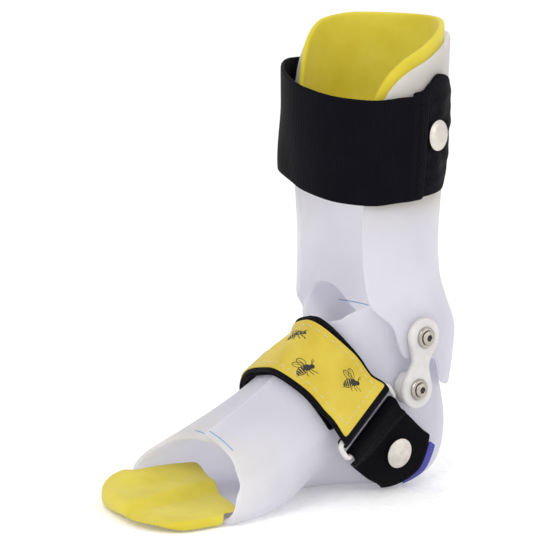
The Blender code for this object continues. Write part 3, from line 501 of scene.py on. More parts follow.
# ---------- materials
class Shader:
    """A node material with one Principled shader and small helpers to feed it."""

    def __init__(self, name, **sockets):
        self.mat = bpy.data.materials.new(name)
        self.mat.use_nodes = True
        self.tree = self.mat.node_tree
        self.bsdf = self.tree.nodes["Principled BSDF"]
        self.out = self.tree.nodes["Material Output"]
        self.place = self.node("ShaderNodeTexCoord").outputs["Object"]
        self.feed(**sockets)

    def put(self, socket, value):
        if isinstance(value, bpy.types.NodeSocket):
            self.tree.links.new(value, socket)
        else:
            socket.default_value = value

    def feed(self, **sockets):
        """Set or link inputs of the Principled shader."""
        for key, value in sockets.items():
            self.put(self.bsdf.inputs[key.replace("_", " ")], value)

    def node(self, kind, inputs=None, **props):
        n = self.tree.nodes.new(kind)
        for key, value in props.items():
            setattr(n, key, value)
        for key, value in (inputs or {}).items():
            self.put(n.inputs[key], value)
        return n

    def lay(self):
        """Distances along and across a strap, in mm."""
        lay = self.node("ShaderNodeAttribute", attribute_name="lay").outputs["Vector"]
        return self.node("ShaderNodeSeparateXYZ", {0: lay}).outputs[:2]

    def maths(self, operation, a, b=0.0):
        return self.node("ShaderNodeMath", {0: a, 1: b}, operation=operation).outputs[0]

    def waves(self, value, pitch):
        return self.maths("SINE", self.maths("MULTIPLY", value, math.tau / pitch))

    def noise(self, scale, detail=3.0, rough=0.5, distort=0.0):
        return self.node("ShaderNodeTexNoise", {"Vector": self.place, "Scale": scale, "Detail": detail,
                                                "Roughness": rough, "Distortion": distort}).outputs["Fac"]

    def spread(self, value, lo, hi, to_lo=0.0, to_hi=1.0):
        n = self.node("ShaderNodeMapRange", {"Value": value, "From Min": lo, "From Max": hi,
                                             "To Min": to_lo, "To Max": to_hi})
        return n.outputs["Result"]

    def blend(self, fac, one, two):
        """Mix of two colours."""
        one, two = ((*c, 1.0) if isinstance(c, tuple) else c for c in (one, two))
        return self.node("ShaderNodeMix", {0: fac, 6: one, 7: two}, data_type="RGBA").outputs[2]

    def bump(self, height, distance, strength=1.0):
        """Bump from a height in metres times distance."""
        n = self.node("ShaderNodeBump", {"Strength": strength, "Distance": distance, "Height": height})
        return n.outputs["Normal"]


def milky_plastic():
    """Drape-formed polypropylene: milky, faintly lilac, lets light through, soft sheen."""
    s = Shader("milky_plastic", Roughness=0.34, IOR=1.45, Specular_IOR_Level=0.45)
    cloud = s.noise(26.0, 2.0)
    tint = s.blend(s.spread(cloud, 0.35, 0.65), (0.83, 0.825, 0.875), (0.89, 0.885, 0.925))
    streak, ripple = s.noise(420.0, 2.0), s.noise(60.0, 2.0)
    s.feed(Base_Color=tint, Roughness=s.spread(streak, 0.3, 0.7, 0.30, 0.42), Normal=s.bump(ripple, 0.0006))
    through = s.node("ShaderNodeBsdfTranslucent", {"Color": tint})
    clear = s.node("ShaderNodeBsdfTransparent", {"Color": (0.96, 0.96, 0.99, 1.0)})
    lit = s.node("ShaderNodeMixShader", {0: 0.64, 1: s.bsdf.outputs[0], 2: through.outputs[0]})
    seen = s.node("ShaderNodeMixShader", {0: 0.13, 1: lit.outputs[0], 2: clear.outputs[0]})
    s.tree.links.new(seen.outputs[0], s.out.inputs["Surface"])
    return s.mat


def foam(name, colour, shade):
    """Closed-cell foam: matte, faint grain of fine cells, slightly uneven colour."""
    s = Shader(name, Roughness=0.72, Specular_IOR_Level=0.3, Sheen_Weight=0.15, Sheen_Roughness=0.5)
    patch = s.spread(s.noise(45.0, 3.0), 0.3, 0.7)
    s.feed(Base_Color=s.blend(patch, colour, shade))
    cells = s.node("ShaderNodeTexVoronoi", {"Vector": s.place, "Scale": 1600.0}).outputs["Distance"]
    s.feed(Normal=s.bump(cells, 0.0002, 0.5))
    return s.mat


def webbing(name, colour, light, rib, shine):
    """Woven strap: ribs across the strap, crossed by fine warp lines."""
    s = Shader(name, Roughness=0.62, Specular_IOR_Level=shine, Sheen_Weight=0.02, Sheen_Roughness=0.4)
    u, v = s.lay()
    warp = s.maths("MULTIPLY", s.waves(v, 0.75 * rib), 0.35)
    cross = s.maths("MULTIPLY", s.waves(u, rib), s.maths("ADD", warp, 0.65))
    height = s.spread(cross, -1.0, 1.0)
    worn = s.spread(s.noise(70.0, 3.0), 0.35, 0.7)
    base = s.blend(worn, colour, light)
    s.feed(Base_Color=s.blend(s.spread(height, 0.35, 1.0, 0.0, 0.8), colour, base),
           Normal=s.bump(height, 0.00025, 0.8))
    return s.mat


def plush(name, colour, light):
    """Brushed loop pile."""
    s = Shader(name, Roughness=0.95, Specular_IOR_Level=0.05, Sheen_Weight=0.09, Sheen_Roughness=0.35)
    pile = s.noise(1100.0, 3.0, 0.65)
    nap = s.noise(120.0, 3.0, 0.6, 0.6)
    s.feed(Base_Color=s.blend(s.spread(pile, 0.4, 0.75), colour, light),
           Normal=s.bump(s.blend(0.4, pile, nap), 0.0006, 0.7))
    return s.mat


def printed_cloth():
    """Yellow cover cloth: plain weave with mottled dye."""
    s = Shader("printed_cloth", Roughness=0.6, Specular_IOR_Level=0.3, Sheen_Weight=0.1)
    u, v = s.lay()
    yarn = 0.55
    weave = s.spread(s.maths("MULTIPLY", s.waves(u, yarn), s.waves(v, yarn)), -1.0, 1.0)
    patch = s.spread(s.noise(60.0, 3.0), 0.3, 0.7)
    base = s.blend(patch, (0.56, 0.41, 0.030), (0.66, 0.52, 0.060))
    s.feed(Base_Color=s.blend(s.spread(weave, 0.0, 1.0, 0.0, 0.25), base, (0.40, 0.29, 0.015)),
           Normal=s.bump(weave, 0.00012, 0.7))
    return s.mat


def metal(name, colour, rough, stain):
    """Plated metal with fine scratches and dull patches."""
    s = Shader(name, Metallic=1.0, Roughness=rough)
    patch = s.spread(s.noise(260.0, 4.0, 0.6), 0.35, 0.7)
    s.feed(Base_Color=s.blend(patch, colour, stain))
    fine = s.noise(1500.0, 2.0)
    s.feed(Roughness=s.spread(fine, 0.3, 0.7, rough * 0.8, rough * 1.5), Normal=s.bump(patch, 0.0002, 0.4))
    return s.mat


def plain(name, colour, rough, grain=900.0, depth=0.0001, **more):
    """Moulded or printed surface with a fine grain."""
    s = Shader(name, Roughness=rough, **more)
    fine = s.noise(grain, 3.0)
    dark = tuple(0.82 * c for c in colour)
    s.feed(Base_Color=s.blend(s.spread(fine, 0.3, 0.75), dark, colour), Normal=s.bump(fine, depth, 0.6))
    return s.mat


def fit(ob, mat, body, node=None):
    """Dress a piece with its material, hide the CAD node it stands for and hang it on the body that carries
    it.
    """
    ob.data.materials.clear()
    ob.data.materials.append(mat)
    if node:
        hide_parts(node)
    if body:
        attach(ob, body)
    return ob


# ---------- start
for old in list(bpy.data.objects):
    bpy.data.objects.remove(old, do_unlink=True)
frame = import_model()

MILKY = milky_plastic()
# The foam's two colours are set darker than the lemon foam itself, standing for the shade inside the
# shells: partly the foam's colour, partly painted shade.
FOAM = foam("yellow_foam", (0.57, 0.46, 0.020), (0.66, 0.56, 0.055))
BAND = webbing("calf_strap_webbing", (0.0026, 0.0022, 0.0046), (0.0070, 0.0062, 0.0110), 1.3, 0.05)
TAPE = webbing("instep_webbing", (0.0018, 0.0016, 0.0028), (0.0045, 0.0040, 0.0065), 1.0, 0.03)
PLUSH = plush("black_plush", (0.0030, 0.0028, 0.0042), (0.0110, 0.0105, 0.0150))
HOOK = plain("hook_tape", (0.008, 0.008, 0.011), 0.6, 1400.0, 0.0004, Specular_IOR_Level=0.15)
PRINT = printed_cloth()
STEEL = metal("screw_steel", (0.50, 0.47, 0.42), 0.30, (0.36, 0.33, 0.29))
# Dark steel for the screws' key sockets: painted shade in the recess, the socket being the same steel as
# the head.
SOCKET_SHADE_STEEL = metal("socket_shade_steel", (0.10, 0.09, 0.085), 0.45, (0.06, 0.055, 0.05))
NICKEL = metal("rivet_nickel", (0.70, 0.66, 0.60), 0.34, (0.58, 0.53, 0.48))
NYLON = plain("ring_nylon", (0.74, 0.72, 0.70), 0.42)
URETHANE = plain("joint_urethane", (0.66, 0.64, 0.63), 0.40, 90.0, 0.0002)
TAG = plain("tag_cloth", (0.042, 0.038, 0.34), 0.7, 1500.0, 0.0002, Sheen_Weight=0.1)
THREAD = plain("white_thread", (0.66, 0.63, 0.54), 0.8, 1800.0)
DARK_THREAD = plain("black_thread", (0.005, 0.005, 0.007), 0.7, 1800.0, Specular_IOR_Level=0.08)
INK = plain("printing_ink", (0.012, 0.011, 0.010), 0.6, 1800.0)
PEN = plain("pen_mark", (0.10, 0.34, 0.66), 0.5, 1200.0)


# ---------- shells
def make_foot_shell():
    cols = spans((TUCK_EDGE, 150, 19), (154, 225, 15), (230, 310, 13), (315, 380, 15), (384, FLAP_EDGE, 17))
    w, s = between(TRIM_TOE, TRIM_TOP, cols, np.linspace(0, 1, 56))
    up = lift(w)
    ob = wall("foot_shell_skin", foot_surface(s, w, up), foot_surface(s, w, up - SHELL_T), (s, w), levels=2)
    return fit(ob, MILKY, "foot", "foot_shell")


def make_calf_shell():
    th = spans((-131, -92, 14), (-88, -58, 11), (-54, 54, 22), (58, 88, 11), (92, 131, 14))
    t, z = between(CALF_LOW, CALF_TOP, th, spans((0, 0.26, 16), (0.29, 1.0, 26)))
    ob = wall("calf_shell_skin", calf_surface(t, z, 0.0), calf_surface(t, z, -SHELL_T), (t, z), levels=2)
    return fit(ob, MILKY, "calf", "calf_shell")


def make_liner():
    th = spans((-138, -124, 8), (-117, 117, 40), (124, 138, 8))
    t, z = between(LINER_LOW, LINER_TOP, th, np.linspace(0, 1, 22))
    outer = -SHELL_T - GAP
    inner = outer - FOAM_T
    ob = wall("calf_liner_foam", calf_surface(t, z, outer), calf_surface(t, z, inner), (t, z), levels=2)
    return fit(ob, FOAM, "calf", "calf_liner")


def pad_top(x, y):
    """Raised bed for the lesser toes, rolling up at the outer side; low shelf for the great toe."""
    bed = 9.6 + 1.4 * ease(-130, -100, y)
    z = bed + (5.9 - bed) * ease(-1, 9.5, x + 0.12 * (y + 125))
    rim = 3.4 * ease(-12, -34, x) * ease(-138, -114, y)
    return z + rim - 2.2 * ease(-136, -148.4, y)


def make_toe_pad():
    y = np.hstack([-148.4, -147.6, -146.2, -144.5, np.linspace(-142, -117, 12),
                   -115.5, -114.4, -112.9, -111, np.linspace(-108, -89, 8)])[:, None]
    u = np.linspace(-1, 1, 41)[None, :]
    right, left = curve(PAD_MEDIAL, y), curve(PAD_LATERAL, y)
    x = left + (right - left) * (u + 1) / 2
    y_in = y - 12.0 * u * ease(-110, -89, y)
    inside = ease(-114.4, -112.9, y_in)
    low = 3.2 * ease(-134, -148.4, y_in) ** 1.4 + inside * (SHELL_T + GAP + 0.5)
    low = low + np.abs(u) ** 6 * (0.9 + 1.3 * inside)
    top = pad_top(x, y_in) - 0.5 * np.abs(u) ** 12
    ob = wall("toe_pad_foam", np.stack([x, y_in, top], -1), np.stack([x, y_in, low], -1), (x, y_in),
              swell=0.35, levels=2)
    return fit(ob, FOAM, "foot", "toe_pad")


make_foot_shell()
make_calf_shell()
make_liner()
make_toe_pad()

# ---------- ankle joints
FLEX_IN = CALF_FLAT_X + GAP
FLEX_OUT = FLEX_IN + FLEX_T
LEAN = math.atan2(SCREW_Y[1] - SCREW_Y[0], SCREW_Z[1] - SCREW_Z[0])
SCREW_REACH = math.hypot(SCREW_Y[1] - SCREW_Y[0], SCREW_Z[1] - SCREW_Z[0]) / 2


def figure_eight(inset=0.0):
    """Outline of the flexure about the ankle axis, upright: two round ends and a neck."""
    r = FLEX_R - inset
    pts = []
    for side in (1, -1):
        start = -38 if side > 0 else 142
        for a in np.radians(np.linspace(start, start + 256, 49)):
            pts.append((r * math.cos(a), side * SCREW_REACH + r * math.sin(a)))
        neck = -side * (FLEX_NECK - inset)
        pts += [(neck * (1 + 0.0177 * z * z), z * side) for z in (3.2, 1.6, 0.0, -1.6, -3.2)]
    return pts


def make_flexure(label, sign):
    """Moulded plate with a soft rounded rim."""
    levels = [(1.3, 0.0), (0.35, 0.12), (0.0, 0.8), (0.0, FLEX_T - 1.0), (0.3, FLEX_T - 0.32),
              (0.9, FLEX_T - 0.05), (1.7, FLEX_T)]      # how far the outline draws in, at each height
    verts = [(sign * (FLEX_IN + h), HINGE_Y + y * math.cos(LEAN) + z * math.sin(LEAN),
              HINGE_Z + z * math.cos(LEAN) - y * math.sin(LEAN))
             for inset, h in levels for y, z in figure_eight(inset)]
    loops = np.arange(len(verts)).reshape(len(levels), -1)
    ob = piece("flexure_body_" + label, verts, skin(loops) + [loops[0], loops[-1]])
    return fit(ob, URETHANE, None, "flexure_" + label)


def make_ankle_joint(label, sign):
    axis = (sign, 0, 0)

    def steel(look, node, profile, x, hexed=0):
        ob = turned("_".join([look, level, label]), profile, (x, y, z), axis, hexed=hexed)
        return fit(ob, STEEL, body, "_".join([level, node, label]))

    flexure = make_flexure(label, sign)
    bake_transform(flexure)
    face = FLEX_OUT + GAP
    seats = (("lower", "foot", FOOT_FLAT_X), ("upper", "calf", CALF_FLAT_X))
    for (level, body, seat), y, z in zip(seats, SCREW_Y, SCREW_Z):
        nut_face = seat - SHELL_T - GAP
        cup = [(BORE, 0.75), (3.0, 1.12), (3.7, 1.45), (4.1, 1.52), (4.5, 1.35), (5.0, 0.85), (5.28, 0.32),
               (5.2, 0.0), (BORE, 0.0)]
        steel("cup_washer", "washer", cup, sign * face)
        tip = nut_face - face - 1.9
        head = [(0, 1.2), (1.6, 1.2), (1.6, 2.72), (1.78, 2.88), (2.3, 2.9), (2.9, 2.74), (3.4, 2.36),
                (3.6, 2.0), (3.5, 1.75), (2.0, 1.75), (2.0, tip), (0, tip)]
        screw = steel("button_screw", "screw", head, sign * face, hexed=2)
        # The socket floor and hex walls take the dark steel: painted shade in the key socket.
        screw.data.materials.append(SOCKET_SHADE_STEEL)
        for socket_face in screw.data.polygons[:2 * TURNED_SIDES]:
            socket_face.material_index = 1
        disc = [(2.35, nut_face), (5.6, nut_face), (5.95, nut_face - 0.3), (5.95, nut_face - 1.1),
                (5.6, nut_face - 1.4), (2.35, nut_face - 1.4)]
        steel("thin_nut", "nut", disc, 0)
    low_x, high_x = FOOT_FLAT_X + GAP, CALF_FLAT_X
    profile = [(BORE, high_x), (7.4, high_x), (7.85, high_x - 0.15), (8.0, high_x - 0.5),
               (8.0, low_x + 0.5), (7.85, low_x + 0.15), (7.4, low_x), (BORE, low_x)]
    spacer = turned("spacer_ring_" + label, profile, (0, SCREW_Y[0], SCREW_Z[0]), axis)
    fit(spacer, URETHANE, "foot", "joint_spacer_" + label)


make_ankle_joint("medial", 1)
make_ankle_joint("lateral", -1)


def make_pen_marks():
    """The orthotist's marker lines: one over the forefoot flaps, one inside the outer ankle wing."""
    runs = []
    for s0, s1, w0, w1, off in ((-59.2, -57.4, 412, 440.5, 0.02), (-56.6, -55.5, 88, 104, 0.02),
                                (92.2, 88.2, 185, 220, -SHELL_T - 0.02)):
        w = np.linspace(w0, w1, 24)
        runs.append(foot_surface(np.linspace(s0, s1, 24), w, lift(w) + off))
    fit(threads("fitting_marks", runs, 0.22), PEN, "foot")


make_pen_marks()

# ---------- instep straps
SURF = StrapSurface()
T_BAR_A = SURF.at_angle(16.5)              # bar that carries the padded flap
T_BAR_B = T_BAR_A - RING_PITCH             # bar held by the riveted loop
T_OPEN = T_BAR_A + 3.2                     # where the padded flap leaves its bar
T_RING = 0.5 * (T_BAR_A + T_BAR_B)
SURF.flatten_at(T_RING, RING_H)
HALF_W = INSTEP_W / 2
CURL = RING_WIRE + GAP + STRAP_T / 2        # radius of a strap's centre round a bar
CURL_STEPS = 17
LAY_1 = UNDER_LAY + STRAP_T / 2            # under strap, centre above the shell
LAY_2 = LAY_1 + STRAP_T + PLY_GAP          # folded-back flap
T_END = SURF.at_angle(221)
T_FLAP = SURF.at_angle(158)
NODES = np.linspace(T_BAR_A + 6.5, T_END + 11.0, 32)
T_BACKING = NODES[NODES < T_FLAP][-1]
T_COVER = NODES[NODES < T_FLAP][-2]
T_CAP = SURF.at_angle(-39.5)
T_LOW = SURF.at_angle(-57.5)
LOOP_LAY = 1.0 + STRAP_T                   # doubled webbing, centre above the shell


def off_floor(points):
    """Keep strap ends that wrap under the foot above the floor."""
    points[..., 2] = np.maximum(points[..., 2], STRAP_CLEAR)
    return points


def ribbon(name, path, thick, q, where=SURF.point, waviness=0.0, swell=0.5):
    """Strip of cloth: centre path of (t, h) pairs swept across its width."""
    path = np.asarray(path, float)
    along = run_length(path)
    tan = unit(np.gradient(path, along, axis=0))
    nor = np.stack([-tan[:, 1], tan[:, 0]], 1) * (np.asarray(thick) / 2 * np.ones(len(path)))[:, None]
    q = np.asarray(q, float)[None, :]
    one, two = path + nor, path - nor
    edge = (np.abs(q) / np.abs(q).max()) ** 4
    ripple = waviness * edge * np.sin(along[:, None] / 2.9 + 1.3 * np.sin(q / 4.0))
    outer = off_floor(where(one[:, :1], q, one[:, 1:] + ripple))
    inner = off_floor(where(two[:, :1], q, two[:, 1:] + ripple * 0.3))
    return wall(name, outer, inner, (along[:, None], q), swell=swell)


def curl_path(t_bar, side):
    """Half round a ring bar, from under it to the top."""
    turn = np.radians(np.linspace(-100, 90, CURL_STEPS))
    return np.column_stack([t_bar - side * CURL * np.cos(turn), RING_H + CURL * np.sin(turn)])


def flap_height(t):
    return LAY_2 + (RING_H + CURL - LAY_2) * ease(T_BAR_A + 16, T_BAR_A + 1.5, t)


def loop_height(t):
    return LOOP_LAY + (RING_H + CURL - LOOP_LAY) * ease(T_BAR_B - 13, T_BAR_B - 1.5, t)


def loop_lean(q):
    """How far the tail's end is shorter at the heel edge and longer at the toe edge."""
    return np.where(q > 0, 0.60, 0.28) * q


def loop_point(t, q, h):
    """The tail of the riveted loop leans, so that its end stays square to the ring."""
    t, q = np.broadcast_arrays(t, q)
    tail = ease(T_BAR_B - 4, T_LOW, t)
    return SURF.point(t + tail * loop_lean(q), q - 0.10 * np.maximum(q, 0.0) * tail, h)


def make_instep_strap():
    t = np.linspace(NODES[0], NODES[-1], 80)
    ob = ribbon("instep_webbing_strip", np.column_stack([t, np.full(80, LAY_1)]), STRAP_T,
                np.linspace(-HALF_W, HALF_W, 13))
    fit(ob, TAPE, "foot", "instep_strap")


def make_flap():
    t = np.concatenate([[T_OPEN], np.linspace(T_BAR_A + 5.5, T_BACKING, 62)])
    path = np.concatenate([curl_path(T_BAR_A, 1), np.column_stack([t, flap_height(t)])])
    backing = ribbon("flap_backing_plush", path, STRAP_T, np.linspace(-HALF_W, HALF_W, 15), waviness=0.12)
    fit(backing, PLUSH, "instep_flap", "flap_backing")
    t = np.linspace(T_OPEN, T_COVER, 64)
    lay = STRAP_T / 2 + PLY_GAP + COVER_T / 2
    cover = ribbon("flap_cover_cloth", np.column_stack([t, flap_height(t) + lay]), COVER_T,
                   np.linspace(-17.5, 17.5, 15))
    fit(cover, PRINT, "instep_flap", "flap_cover")
    with_it = [make_cover_stitches(), make_bees()]


def on_cover(t, q, h=0.0):
    """Point on the outer face of the cover cloth."""
    return SURF.point(t, q, flap_height(t) + STRAP_T / 2 + PLY_GAP + COVER_T + h)


def stitches(start, end, q, dash, gap, where, sink):
    """Dashes of thread round a rectangle of cloth, each dipping into the cloth at its ends."""
    runs = []
    corners = [(start, q), (end, q), (end, -q), (start, -q), (start, q)]
    for (t0, q0), (t1, q1) in zip(corners[:-1], corners[1:]):
        length = math.hypot(t1 - t0, q1 - q0)
        count = max(1, round(length / (dash + gap)))
        for k in range(count):
            part = (k + np.linspace(0.5 * gap, dash + 0.5 * gap, 7) / (dash + gap)) / count
            h = sink * np.abs(np.linspace(-1, 1, 7)) ** 3
            runs.append(where(t0 + (t1 - t0) * part, q0 + (q1 - q0) * part, 0.12 - h))
    return runs


def make_cover_stitches():
    runs = stitches(T_OPEN + 3.0, T_COVER - 3.0, 14.4, 2.1, 1.5, on_cover, 0.42)
    return fit(threads("cover_stitches", runs, 0.19), THREAD, "instep_flap")


def blob(cx, cy, rx, ry, turn=0.0, count=16):
    a = np.linspace(0, math.tau, count, endpoint=False)
    x, y = rx * np.cos(a), ry * np.sin(a)
    return np.column_stack([cx + x * math.cos(turn) - y * math.sin(turn),
                            cy + x * math.sin(turn) + y * math.cos(turn)])


def stroke(points, width):
    """Thin inked line as a closed outline."""
    p = np.asarray(points, float)
    tan = unit(np.gradient(p, axis=0))
    nor = np.column_stack([-tan[:, 1], tan[:, 0]]) * width / 2
    return np.concatenate([p + nor, (p - nor)[::-1]])


def insect():
    """Side view of a plain bee, head at +x and wings at +y, about 11 across: a list of inked outlines."""
    shapes = [blob(3.5, 0.1, 1.25, 1.15), blob(1.4, 0.35, 1.75, 1.65)]
    for x, r, tilt in ((-0.75, 1.95, 0.12), (-1.95, 1.85, 0.22), (-3.05, 1.45, 0.34), (-3.95, 0.8, 0.42)):
        shapes.append(blob(x, -0.10 * (x + 0.7) ** 2, 0.42, r, tilt))
    belly = [(-0.2, -1.75), (-1.5, -2.1), (-2.9, -2.15), (-4.1, -1.9), (-4.9, -2.0)]
    back = [(-0.2, 1.9), (-1.5, 1.75), (-2.8, 1.15), (-3.9, 0.1), (-4.6, -1.2)]
    shapes += [stroke(belly, 0.26), stroke(back, 0.26)]
    for x0, y0, x1, y1, wide in ((1.3, 1.7, -0.2, 6.3, 1.55), (0.5, 1.7, -3.4, 5.0, 1.4)):
        mx, my, turn = (x0 + x1) / 2, (y0 + y1) / 2, math.atan2(y1 - y0, x1 - x0)
        wing = blob(mx, my, math.hypot(x1 - x0, y1 - y0) / 2, wide, turn, 32)
        shapes += [stroke(wing[:17], 0.28), stroke(np.vstack([wing[16:], wing[:1]]), 0.28)]
        shapes.append(stroke([(x0, y0), (mx, my), (x1 * 0.8 + mx * 0.2, y1 * 0.8 + my * 0.2)], 0.18))
    for x, reach in ((2.4, 1.3), (1.4, 0.4), (0.4, -0.9)):
        foot = x + reach
        shapes.append(stroke([(x, -0.9), (x + 0.5 * reach, -2.3), (foot, -2.8), (foot + 0.4, -3.8)], 0.3))
    for rise in (2.7, 1.9):
        shapes.append(stroke([(4.0, 0.9), (4.8, rise), (5.8, rise + 0.4)], 0.24))
    return shapes


# along the cover as a share of it, across it (mm), heading (degrees) and size
BEES = [(0.140, 3.6, 128, 1.06), (0.345, -9.6, 112, 1.06), (0.545, 5.6, 150, 1.06), (0.80, -7.5, 130, 1.0)]


def make_bees():
    """Printed bees, as ink lying on the cover cloth."""
    verts, faces = [], []
    for share, q0, turn, size in BEES:
        t0 = T_OPEN + share * (T_COVER - T_OPEN)
        c, s = math.cos(math.radians(turn)) * size, math.sin(math.radians(turn)) * size
        for shape in insect():
            t = t0 + shape[:, 0] * c + shape[:, 1] * s
            q = q0 + shape[:, 0] * s - shape[:, 1] * c
            top = len(verts) + np.arange(len(t))
            low = top + len(t)
            verts += list(on_cover(t, q, 0.07)) + list(on_cover(t, q, -0.2))
            faces += [top, low[::-1]] + skin([top, low])
    ob = piece("printed_bees", verts, faces)
    ob.data.shade_flat()
    return fit(ob, INK, "instep_flap")


def make_chafe_loop():
    t = np.linspace(T_BAR_B - 4.0, T_LOW, 48)
    path = np.concatenate([curl_path(T_BAR_B, -1), np.column_stack([t, loop_height(t)])])
    doubled = STRAP_T * (1 + ease(T_BAR_B - 4, T_BAR_B - 9, t))
    thick = np.concatenate([np.full(CURL_STEPS, STRAP_T), doubled])
    ob = ribbon("chafe_loop_webbing", path, thick, np.linspace(-HALF_W, HALF_W, 13), loop_point, swell=0.3)
    fit(ob, TAPE, "foot", "chafe_loop")

    def on_loop(t, q, h):
        return loop_point(t, q, loop_height(t) + STRAP_T + h)

    runs = stitches(T_BAR_B - 7.0, T_LOW + 2.4, HALF_W - 2.2, 2.0, 0.9, on_loop, 0.4)
    seam = fit(threads("loop_stitches", runs, 0.2), DARK_THREAD, "foot")
    make_tag()


def make_ring():
    """Rounded rectangular loop of wire that both straps turn round."""
    p, along, _, out = frame_at(SURF, T_RING, 0.0, RING_H)
    half_x, half_y, corner = RING_PITCH / 2, HALF_W + RING_SPARE, 2.6
    path = []
    for side_x, side_y, start in ((1, 1, 0), (-1, 1, 90), (-1, -1, 180), (1, -1, 270)):
        for a in np.radians(start + np.linspace(0, 90, 9)):
            path.append(p + along * (side_x * (half_x - corner) + corner * math.cos(a))
                        + np.cross(out, along) * (side_y * (half_y - corner) + corner * math.sin(a)))
    path = np.array(path)
    side = np.cross(unit(np.roll(path, -1, 0) - np.roll(path, 1, 0)), out)
    verts, loops = swept(path, RING_WIRE, side, np.broadcast_to(out, path.shape), 16)
    wire = piece("strap_ring_wire", verts, skin([*loops, loops[0]]))
    fit(wire, NYLON, "foot", "strap_ring")


def make_cap(name, node, p, out, shank, body):
    """Snap cap: domed, with a rolled edge, on a shank through the strap and the shell."""
    profile = [(0, 1.92), (1.6, 1.90), (3.2, 1.79), (4.7, 1.58), (5.6, 1.36), (6.3, 1.08), (6.7, 0.92),
               (7.05, 0.95), (7.4, 0.78), (7.5, 0.42), (7.3, 0.05), (6.9, 0.0), (1.8, 0.0), (1.8, -shank),
               (0, -shank)]
    fit(turned(name, profile, tuple(p), tuple(out), 64), NICKEL, body, node)


def make_tag():
    t = T_LOW - np.linspace(1.7, 6.7, 9)[:, None]
    q = np.linspace(-9.5, 14.5, 13)[None, :]
    t = t + loop_lean(q)
    wave = 0.12 * np.sin(q / 2.1)
    outer, inner = (off_floor(SURF.point(t, q, h + wave)) for h in (2.45, 1.75))
    ob = wall("blank_tag_cloth", outer, inner, (t, q), swell=0.5)
    return fit(ob, TAG, "foot", "blank_tag")


make_ring()
make_instep_strap()
make_flap()
make_chafe_loop()
for where, t, lay in (("chafe", T_CAP, 1.0 + 2 * STRAP_T + GAP),
                      ("anchor", T_END, UNDER_LAY + STRAP_T + GAP)):
    p, _, _, out = frame_at(SURF, t, 0.0, lay)
    make_cap(where + "_cap", where + "_rivet", p, out, lay + SHELL_T, "foot")


# ---------- calf strap
CALF_ARC = 0.66            # mm round the calf per degree


def strap_points(th, q, lift_by):
    flare = STRAP_FLARE * ease(195, 222, th) * ease(262, 240, th) * ease(8, -25, q)
    return calf_surface(th, curve(STRAP_MID, th) + q, curve(STRAP_OFF, th) + flare + lift_by)


def make_calf_strap():
    th = spans((STRAP_START, 102, 9), (104.5, 256, 56), (259, 276, 7))[:, None]
    q = np.linspace(-CALF_STRAP_W / 2, CALF_STRAP_W / 2, 15)[None, :]
    outer, inner = strap_points(th, q, CALF_STRAP_T), strap_points(th, q, 0.0)
    u = run_length((outer[:, 7] + inner[:, 7]) / 2)
    ob = wall("calf_strap_webbing_band", outer, inner, (u[:, None], q), swell=0.6)
    fit(ob, BAND, "closing_strap", "calf_strap")
    zig = np.arange(-24.0, 24.01, 1.5)
    th_zig = STRAP_START + 3.4 + 3.0 * (np.arange(len(zig)) % 2)
    h = CALF_STRAP_T + 0.14 - 0.3 * np.linspace(-1, 1, 6) ** 4
    runs = [strap_points(np.linspace(*turn, 6), np.linspace(*rise, 6), h)
            for turn, rise in zip(zip(th_zig[:-1], th_zig[1:]), zip(zig[:-1], zig[1:]))]
    seam = fit(threads("zigzag_seam", runs, 0.24), DARK_THREAD, "closing_strap")


def make_tab():
    """Plush tab, pinched under its cap and puckered at the edges."""
    th = np.linspace(52, 95.5, 45)[:, None]
    v = np.linspace(0, 1, 41)[None, :]
    z = curve(TAB_LOW, th) * (1 - v) + curve(TAB_TOP, th) * v
    arc = (th - CAP_AT[0]) * CALF_ARC
    away = np.hypot(arc, z - CAP_AT[1])
    turn = np.arctan2(z - CAP_AT[1], arc)
    pucker = 0.28 * np.sin(7 * turn + 1.0) * ease(7, 13, away) * ease(30, 18, away)
    dip = -0.45 * ease(12, 8.2, away)
    crease = 0.16 * np.sin(0.8 * z + 0.25 * arc) * ease(0, 5, away)
    th = np.broadcast_to(th, z.shape)
    outer = calf_surface(th, z, GAP + TAB_T + dip + pucker + crease)
    inner = calf_surface(th, z, GAP)
    ob = wall("strap_tab_plush", outer, inner, (th * CALF_ARC, z), swell=0.7)
    fit(ob, PLUSH, "calf", "strap_tab")


def make_hook_pad():
    th = np.linspace(-104, -62, 29)[:, None]
    z = np.linspace(161, 203, 25)[None, :]
    th, z = np.broadcast_arrays(th, z)
    outer, inner = calf_surface(th, z, GAP + HOOK_T), calf_surface(th, z, GAP)
    ob = wall("hook_pad_tape", outer, inner, (th * CALF_ARC, z), swell=0.5)
    fit(ob, HOOK, "calf", "hook_pad")


make_calf_strap()
make_tab()
make_hook_pad()
around = calf_surface(CAP_AT[0] + 2, CAP_AT[1], 3.0) - calf_surface(CAP_AT[0] - 2, CAP_AT[1], 3.0)
out = unit(np.cross(around, np.array([0.0, 0.0, -1.0])))
out = out * np.sign(out[0])
base = calf_surface(*CAP_AT, GAP + TAB_T + GAP)
make_cap("tab_cap", "tab_rivet", base + out * 0.25, out, 0.25 + 2 * GAP + TAB_T + SHELL_T, "calf")


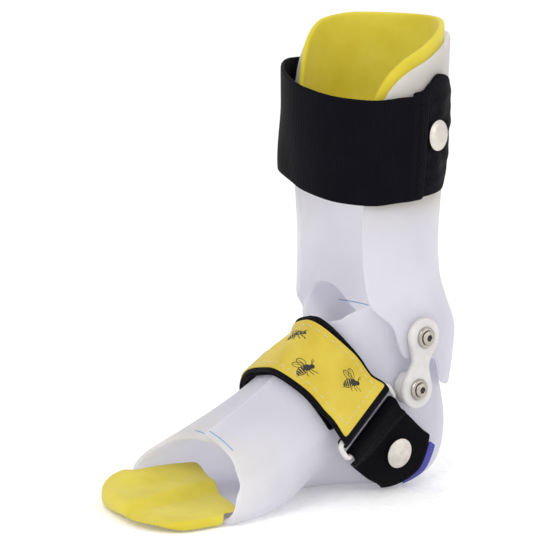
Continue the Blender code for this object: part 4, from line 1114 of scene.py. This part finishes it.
# ---------- stage, light and camera
TARGET = Vector((0, -54, 107.5)) * MM
VIEW_AZ = 50.5
VIEW_EL = 9.0
VIEW_ROLL = 0.9
VIEW_DISTANCE = 1.430
LENS = 195.3


def make_camera():
    a, e = math.radians(VIEW_AZ), math.radians(VIEW_EL)
    back = Vector((math.sin(a) * math.cos(e), -math.cos(a) * math.cos(e), math.sin(e)))
    cam = add("camera", bpy.data.cameras.new("camera"))
    cam.data.lens = LENS
    cam.data.sensor_width = 36.0
    cam.data.clip_start = 0.05
    cam.location = TARGET + back * VIEW_DISTANCE
    turn = back.to_track_quat("Z", "Y") @ Matrix.Rotation(math.radians(VIEW_ROLL), 3, "Z").to_quaternion()
    cam.rotation_euler = turn.to_euler()
    bpy.context.scene.camera = cam


def area_light(name, place, aim, size, power, colour=(1, 1, 1)):
    light = bpy.data.lights.new(name, "AREA")
    light.size = size
    light.energy = power
    light.color = colour
    ob = add(name, light)
    ob.location = place
    ob.rotation_euler = (Vector(place) - Vector(aim)).to_track_quat("Z", "Y").to_euler()


def make_stage():
    me = bpy.data.meshes.new("floor")
    half = 4.0
    corners = [(-half, -half, 0), (half, -half, 0), (half, half, 0), (-half, half, 0)]
    me.from_pydata(corners, [], [(0, 1, 2, 3)])
    floor = add("floor", me)
    floor.location.z = -0.0002
    paper = plain("white_paper", (0.95, 0.95, 0.95), 0.8, 300.0, 0.0001, Specular_IOR_Level=0.1)
    glow = paper.node_tree.nodes["Principled BSDF"]
    glow.inputs["Emission Color"].default_value = (1.0, 1.0, 1.0, 1.0)
    glow.inputs["Emission Strength"].default_value = 0.16
    floor.data.materials.append(paper)
    world = bpy.data.worlds.new("studio")
    world.use_nodes = True
    backdrop = world.node_tree.nodes["Background"]
    backdrop.inputs["Color"].default_value = (1.0, 1.0, 1.0, 1.0)
    backdrop.inputs["Strength"].default_value = 1.0
    bpy.context.scene.world = world
    bpy.context.scene.view_settings.view_transform = "Standard"
    area_light("key", (0.5, -1.0, 1.1), (0, 0, 0.1), 0.8, 6)
    area_light("fill", (1.2, 0.6, 0.7), (0, 0, 0.1), 1.0, 3)


make_camera()
make_stage()
